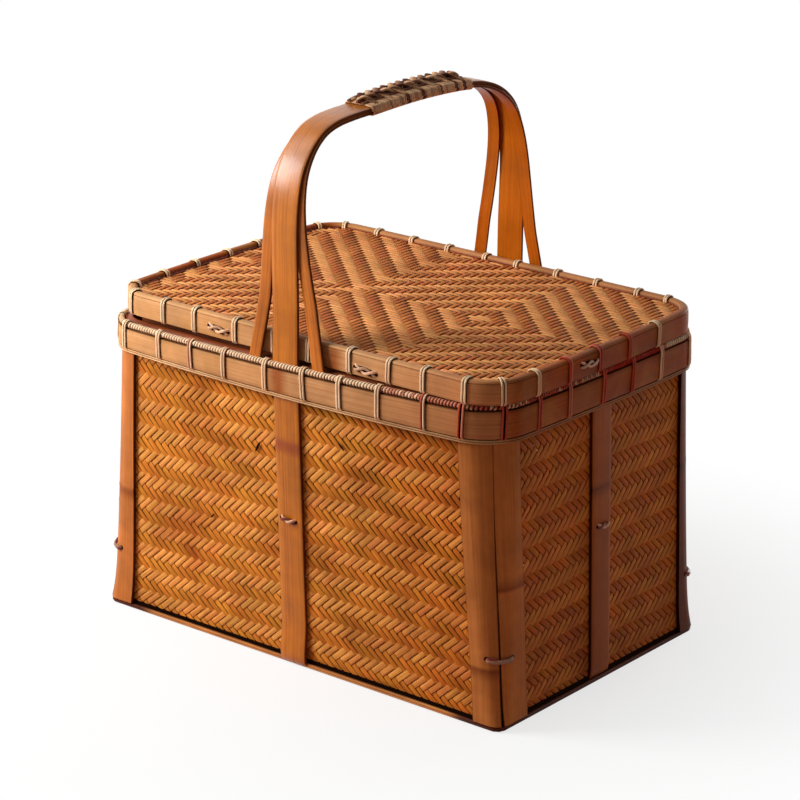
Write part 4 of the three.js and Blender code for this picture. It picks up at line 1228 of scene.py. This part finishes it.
RIM_STRAP_PATH = [  # off and z
    (0.6, 220.0), (1.0, 222.3), (2.6, 223.5), (4.6, 222.9), (5.9, 220.6), (6.25, 218.2), (6.3, 214),
    (6.3, 204), (6.1, 200.6), (5.4, 199.6), (3.8, 199.4),
]
RIM_STRAPS = {  # places along each side
    "front": (-145.9, -112.2, -81.4, -50.0, -13.2, 19.5, 49.8, 81.1, 116.4, 144.3),
    "right": (-101.7, -73.6, -42.0, -4.9, 28.2, 62.0, 97.5),
    "back": (-148, -115, -82, -50, -17, 15, 48, 81, 115, 148),
    "left": (-102, -68, -34, 1, 35, 69, 102),
}
RIM_STRAP_TONES = {  # how red each of the two strands is
    "front": {-81.4: (0.6, 0.1), -50.0: (0.0, 0.3), 81.1: (0.0, 0.15), 116.4: (0.85, 0.15),
              144.3: (0.95, 0.75)},
    "right": {-101.7: (0.9, 0.95), -73.6: (0.85, 0.95), -42.0: (0.8, 0.75), -4.9: (0.9, 0.95),
              28.2: (0.95, 0.95), 62.0: (0.1, 0.5), 97.5: (0.0, 0.15)},
}
LID_STRAP_PATH = [
    (-7.6, 235.8), (-7.5, 237.8), (-7.0, 239.4), (-5.6, 240.3), (-3.6, 240.5), (-1.6, 240.2), (0.2, 239.0),
    (0.95, 237.0), (1.0, 233), (1.0, 227), (0.7, 224.4), (-0.6, 223.3),
]
LID_STRAPS = {
    "front": (-149.6, -117.7, -89.0, -52.0, -17.8, 12.5, 47.8, 81.0, 109.2, 142.2),
    "right": (-106.0, -75.4, -42.4, -9.5, 24.5, 60.1),
    "back": (-150, -117.6, -85, -52, -18, 10, 45.4, 80, 115, 140),
    "left": (-100.5, -66.5, -33.5, 1.5, 33, 67.5, 99.5),
}
LID_STRAP_TONES = {
    "right": {-106.0: (0.0, 0.05), -75.4: (0.0, 0.1), -42.4: (0.95, 0.75), -9.5: (0.85, 0.95),
              24.5: (0.95, 0.95), 60.1: (0.0, 0.1)},
}
STRAND_W = 0.72  # half width of a strap's strand
STRAND_T = (0.6, 0.4)  # half thickness, and where the braces pass close by
STRAP_SHADOW = (2.05, 0.3)  # half width and half depth of the painted shadow under a strap, which outlines its strands
STRAP_HOLE = (2.6, 0.8)  # half length and half width of the painted shade at the opening in the lid where a strap goes in
CORD_STEPS = 700
CORD_TURNS = 90  # of the running cord, round the lid
CORD_RADIUS = 0.5
CORD_SWING = 0.4  # of its two strands, round its middle
CORD_AT = (0.7, 1.2)  # its middle, inwards from the edge strip and up from the weave


def strand_pair(shape, painted_shadows, plan_at, s, path, half_t, tones, seed, lean):
    """Two strands side by side across a band at s, following a path of (off, z), over a dark strip of
    painted shadow.
    """
    line = smooth_path(path, 1.2)
    off, z = line.T
    run = run_lengths(line)
    apart = STRAND_W + 0.34
    for target, half_w, deep, where, sunk, own, tone in (
        (shape, STRAND_W, half_t, -apart, 0.0, seed, tones[0]),
        (shape, STRAND_W, half_t, apart, 0.0, seed + 0.11, tones[1]),
        (painted_shadows, *STRAP_SHADOW, 0.3, 0.42, 0.5, 0.0),
    ):
        at = s + where + lean * (z - z.mean())
        points = place(plan_at, at, z, off)
        up = unit(np.cross(place(plan_at, at + 1.0, z, off) - points, np.gradient(points, axis=0)))
        if np.einsum("ij,j->", up, points.mean(0) * (1, 1, 0)) < 0:
            up = -up
        target.strand(points - up * sunk, up, round_section(half_w, deep, power=0.85), own, tone, run=run)


def strap_hole(painted_shadows, s, off, z):
    """A dark patch of painted shade at the opening in the lid's weave where a strap goes in."""
    a = np.arange(10) / 10 * TURN
    aside, inwards = STRAP_HOLE[0] * np.cos(a), STRAP_HOLE[1] * np.sin(a)
    rows = [place(lid_plan, s + 2.4 + k * aside, z + 0.5 + lift, off + 0.4 + k * inwards)
            for k, lift in ((1, -1.2), (1, 0.6), (0.7, 0.8), (0.02, 0.8))]
    painted_shadows.tube(np.array(rows), np.arange(4), np.zeros(10), 0.5)


def straps(name, plan_at, table, tones, path, node, body="basket"):
    on_lid = plan_at is lid_plan
    shape, painted_shadows = Shape(), Shape()
    for side, places in table.items():
        for along in places:
            s = float(side_s(plan_at, side, along, path[len(path) // 2][1]))
            tight = on_lid and side in ("front", "back") and abs(along) < 25  # clears the braces
            jitter = [(o + rng.uniform(-0.08, 0.08), z) for o, z in path]
            jitter = [(min(o, 0.5), z) for o, z in jitter] if tight else jitter
            pair = tones.get(side, {}).get(along, (0, 0))
            own, lean = rng.random(), rng.uniform(-0.03, 0.03)
            strand_pair(shape, painted_shadows, plan_at, s, jitter, STRAND_T[tight], pair, own, lean)
            if on_lid:
                strap_hole(painted_shadows, s, *path[0])
    shape.make(name, "cream", "rattan_cane", [node], body)
    # the painted shadows under the straps and at the holes
    painted_shadows.make(name + "_gap", "gap", "rattan_cane", [node], body)


def make_straps():
    straps("rim_straps", wall_plan, RIM_STRAPS, RIM_STRAP_TONES, RIM_STRAP_PATH, "rim_rattan_binding")
    straps("lid_straps", lid_plan, LID_STRAPS, LID_STRAP_TONES, LID_STRAP_PATH, "lid_rattan_binding", "lid")


def make_running_cord():
    """Two thin strands twisted together along the inner side of the lid's edge, in the dark bamboo colour as
    a painted shadow line.
    """
    shape = Shape()
    total = float(length_round(lid_plan(LID_WEAVE_Z)))
    s = np.arange(CORD_STEPS) / CORD_STEPS * total
    section = round_section(CORD_RADIUS, CORD_RADIUS, 6)
    for twin in (0, 1):
        a = s / total * TURN * CORD_TURNS + twin * math.pi
        z = LID_WEAVE_Z + CORD_AT[1] + CORD_SWING * np.sin(a)
        path = place(lid_plan, s, z, FILLER_IN - CORD_AT[0] + CORD_SWING * np.cos(a))
        shape.tube(closed_rings(path, (0, 0, 1), section), s, section[:, 0], 0.4 + 0.2 * twin, closed=True)
    shape.make("lid_running_cord", "dark", "rattan_cane", ["lid_rattan_binding"], "lid")


# Ties

CORNER_TIE = (45, 0.0, 0.3)  # height, place off the seam, and how far the middle stands out
NEAR_TIE = {"front_right": (49.6, 2.2, 0.9)}  # the same, where a corner differs
WALL_TIES = (  # side, height and place off the slat's face
    ("front", 108, 0.35), ("back", 108, 0.35), ("left", 112, 0.1), ("right", 112, 0.1),
)
LID_TIES = (  # name, side, place along it and height
    ("front_left", "front", -66.4, 230.2), ("front_right", "front", 61.9, 228.4),
    ("right", "right", -21.2, 232.0),
)
CORNER_STITCH = {"half": 7.9, "slope": -0.03, "radius": 1.35, "turns": 0.5, "wave": 0.45,
                 "tones": (0.3, 0.0), "sag": 0.9, "ends": 2.4}
WALL_STITCH = {"half": 6.2, "bulge": 0.5, "slope": -0.08, "radius": 1.0, "turns": 1.0, "wave": 1.1,
               "tones": (0.0, 0.8)}
LID_STITCH = {"half": 9.2, "bulge": 0.5, "slope": -0.1, "radius": 0.95, "turns": 1.0, "wave": 1.6,
              "tones": (0.7, 1.0), "ends": 1.6}
LID_TIE_OFF = 0.25  # a lid tie's place off the hoop's face
SHADE_HALF = 8.8  # half length of the painted shadow under a lid tie
SHADE_LOW = 0.35  # how far below the tie it lies


def twisted(shape, path, up, radius, turns, wave, tones, ends):
    """Two strands twisted together along a path, both ends pressed in below the surface."""
    line = smooth_path(path, 0.7)
    side, lift = frames(line, up)
    t = np.linspace(0, 1, len(line))
    dip = ends * (ramp(t, 0.12, 0) ** 2 + ramp(t, 0.88, 1) ** 2)
    for twin in (0, 1):
        a = TURN * turns * t + twin * math.pi
        strand = line + side * (wave * np.cos(a))[:, None] + lift * (wave * 0.55 * np.sin(a) - dip)[:, None]
        shape.strand(strand, lift, round_section(radius, radius * 0.8, 7), 0.3 + 0.4 * twin, tones[twin])


def hole(shape, centre, normal, radius):
    """A dark ring of painted shade where a tie goes in."""
    normal = Vector(normal).normalized()
    side = Vector((0, 0, 1)).cross(normal).normalized()
    up = normal.cross(side)
    a = (np.arange(12) / 12 * TURN)[:, None]
    flat = np.cos(a) * np.array(side) + 0.85 * np.sin(a) * np.array(up)
    rows = [centre + flat * r + np.array(normal) * lift
            for r, lift in ((radius, -0.5), (radius, 0.12), (radius * 0.75, 0.24), (0.05, 0.2))]
    shape.tube(np.array(rows), np.arange(4), np.zeros(12), 0.5, flank=1.0)


def stitch(shape, plan_at, at, z, proud, half, bulge, slope, radius, turns, wave, tones, sag=0.0, ends=2.0):
    """A twisted tie across a strip or a seam, with a hole at each end. half is half its length, wave how
    far its strands swing, and ends how deep its ends are pressed in."""
    d = np.linspace(-half, half, 9)
    swell = 1 - (d / half) ** 2
    path = place(plan_at, at + d, z + slope * d - sag * swell, proud + radius * 0.8 + bulge * swell)
    twisted(shape, path, outward(plan_at, at, z), radius, turns, wave, tones, ends)
    for end in (-1, 1):
        s = at + end * (half - 0.3)
        height = z + slope * end * half
        spot = place(plan_at, s, height, proud)
        hole(shape, spot, place(plan_at, s, height, proud + 5) - spot, radius * 1.5)


def make_ties():
    proud = SLAT + GAP
    for corner in CORNERS:
        z, aside, bulge = NEAR_TIE.get(corner, CORNER_TIE)
        at = float(corner_s(wall_plan, corner, z)) + aside
        shape = Shape()
        stitch(shape, wall_plan, at, z, proud, bulge=bulge, **CORNER_STITCH)
        shape.make(f"tie_corner_{corner}", "tie", "dark_rattan", [f"corner_{corner}_tie"])
    for side, z, extra in WALL_TIES:
        at = float(side_s(wall_plan, side, 0.0, z))
        shape = Shape()
        stitch(shape, wall_plan, at, z, proud + extra, **WALL_STITCH)
        shape.make(f"tie_{side}", "tie", "dark_rattan", [f"{side}_centre_tie"])
    for name, side, along, z in LID_TIES:
        at = float(side_s(lid_plan, side, along, z))
        shape = Shape()
        stitch(shape, lid_plan, at, z, LID_TIE_OFF, **LID_STITCH)
        # painted shadow under the tie: a dark strip in the tie's edge colour
        d = np.linspace(-SHADE_HALF, SHADE_HALF, 9)
        under = place(lid_plan, at + d, z + LID_STITCH["slope"] * d - SHADE_LOW, 0.3)
        rings = cord_rings(under, outward(lid_plan, at, z), round_section(1.0, 0.22))
        rings = tapered(under, rings, 0.3 + 2.4 * np.sqrt(1 - (d / LID_STITCH["half"]) ** 2))
        shape.tube(rings, d, np.zeros(8), 0.5, flank=1.0)
        shape.make(f"tie_lid_{name}", "tie", "dark_rattan", [f"lid_{name}_tie"], "lid")


# Battens

def make_battens():
    """Flat strips of bamboo that fill the solids' boxes, their outer faces downwards."""
    for node in ("base_batten_left", "base_batten_right", "lid_batten_left", "lid_batten_centre",
                 "lid_batten_right"):
        low, high = (np.array(v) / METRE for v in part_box(node))
        width, _, thick = high - low
        ends = np.array([(low + high) / 2] * 2)
        ends[:, 1] = low[1], high[1]
        section = slat_section(width, thick, crown=0.2, edge=min(0.5, width * 0.12), columns=4)
        shape = Shape()
        shape.strand(np.linspace(*ends, 24), (0, 0, -1), section, rng.random())
        body = "lid" if node.startswith("lid") else "basket"
        shape.make(f"{node}_strip", "slat", "slat_bamboo", [node], body)


# Stage and light

def make_stage():
    mesh = bpy.data.meshes.new("floor")
    half = 6.0
    corners = [(-half, -half, 0), (half, -half, 0), (half, half, 0), (-half, half, 0)]
    mesh.from_pydata(corners, [], [(0, 1, 2, 3)])
    mesh.materials.append(floor_material())
    floor = bpy.data.objects.new("floor", mesh)
    bpy.context.scene.collection.objects.link(floor)


def area_light(name, stand, target, size, power, colour=(1, 1, 1)):
    data = bpy.data.lights.new(name, "AREA")
    data.shape = "RECTANGLE"
    data.size, data.size_y = size
    data.energy = power
    data.color = colour
    lamp = bpy.data.objects.new(name, data)
    lamp.location = stand
    lamp.rotation_euler = (Vector(target) - Vector(stand)).to_track_quat("-Z", "Y").to_euler()
    bpy.context.scene.collection.objects.link(lamp)


def make_light():
    """White to the camera, a dim room to the basket, and four lamps."""
    world = bpy.data.worlds.new("studio")
    world.use_nodes = True
    tree = world.node_tree
    back = tree.nodes["Background"]
    back.inputs["Color"].default_value = (1, 1, 1, 1)
    strength = tree.nodes.new("ShaderNodeMapRange")
    strength.inputs["To Min"].default_value = 0.15
    strength.inputs["To Max"].default_value = 1.0
    tree.links.new(seen_by_camera(tree), strength.inputs["Value"])
    tree.links.new(strength.outputs[0], back.inputs["Strength"])
    bpy.context.scene.world = world
    area_light("key", (-0.75, -0.65, 0.65), (0, 0, 0.15), (0.5, 0.5), 15)
    area_light("high", (-0.53, -0.37, 1.0), (0, 0, 0.25), (0.4, 0.4), 2)
    area_light("behind", (0.1, 1.5, 0.35), (0, 0, 0.15), (0.8, 0.5), 9)
    area_light("low_right", (1.3, -0.25, 0.35), (0, 0, 0.12), (0.6, 0.4), 0.7, (1.0, 0.6, 0.38))


make_camera()
M = make_materials()
woven_walls()
weave_slit_shade()
woven_floor()
lid_panel()
make_rim_hoops()
make_lid_hoops()
make_base_edge()
make_corner_slats()
make_side_slats()
make_handle()
make_grip()
make_ridge()
make_lashes()
make_rim_winding()
make_straps()
make_running_cord()
make_ties()
make_battens()
make_stage()
make_light()
bpy.context.scene.view_settings.view_transform = "Standard"
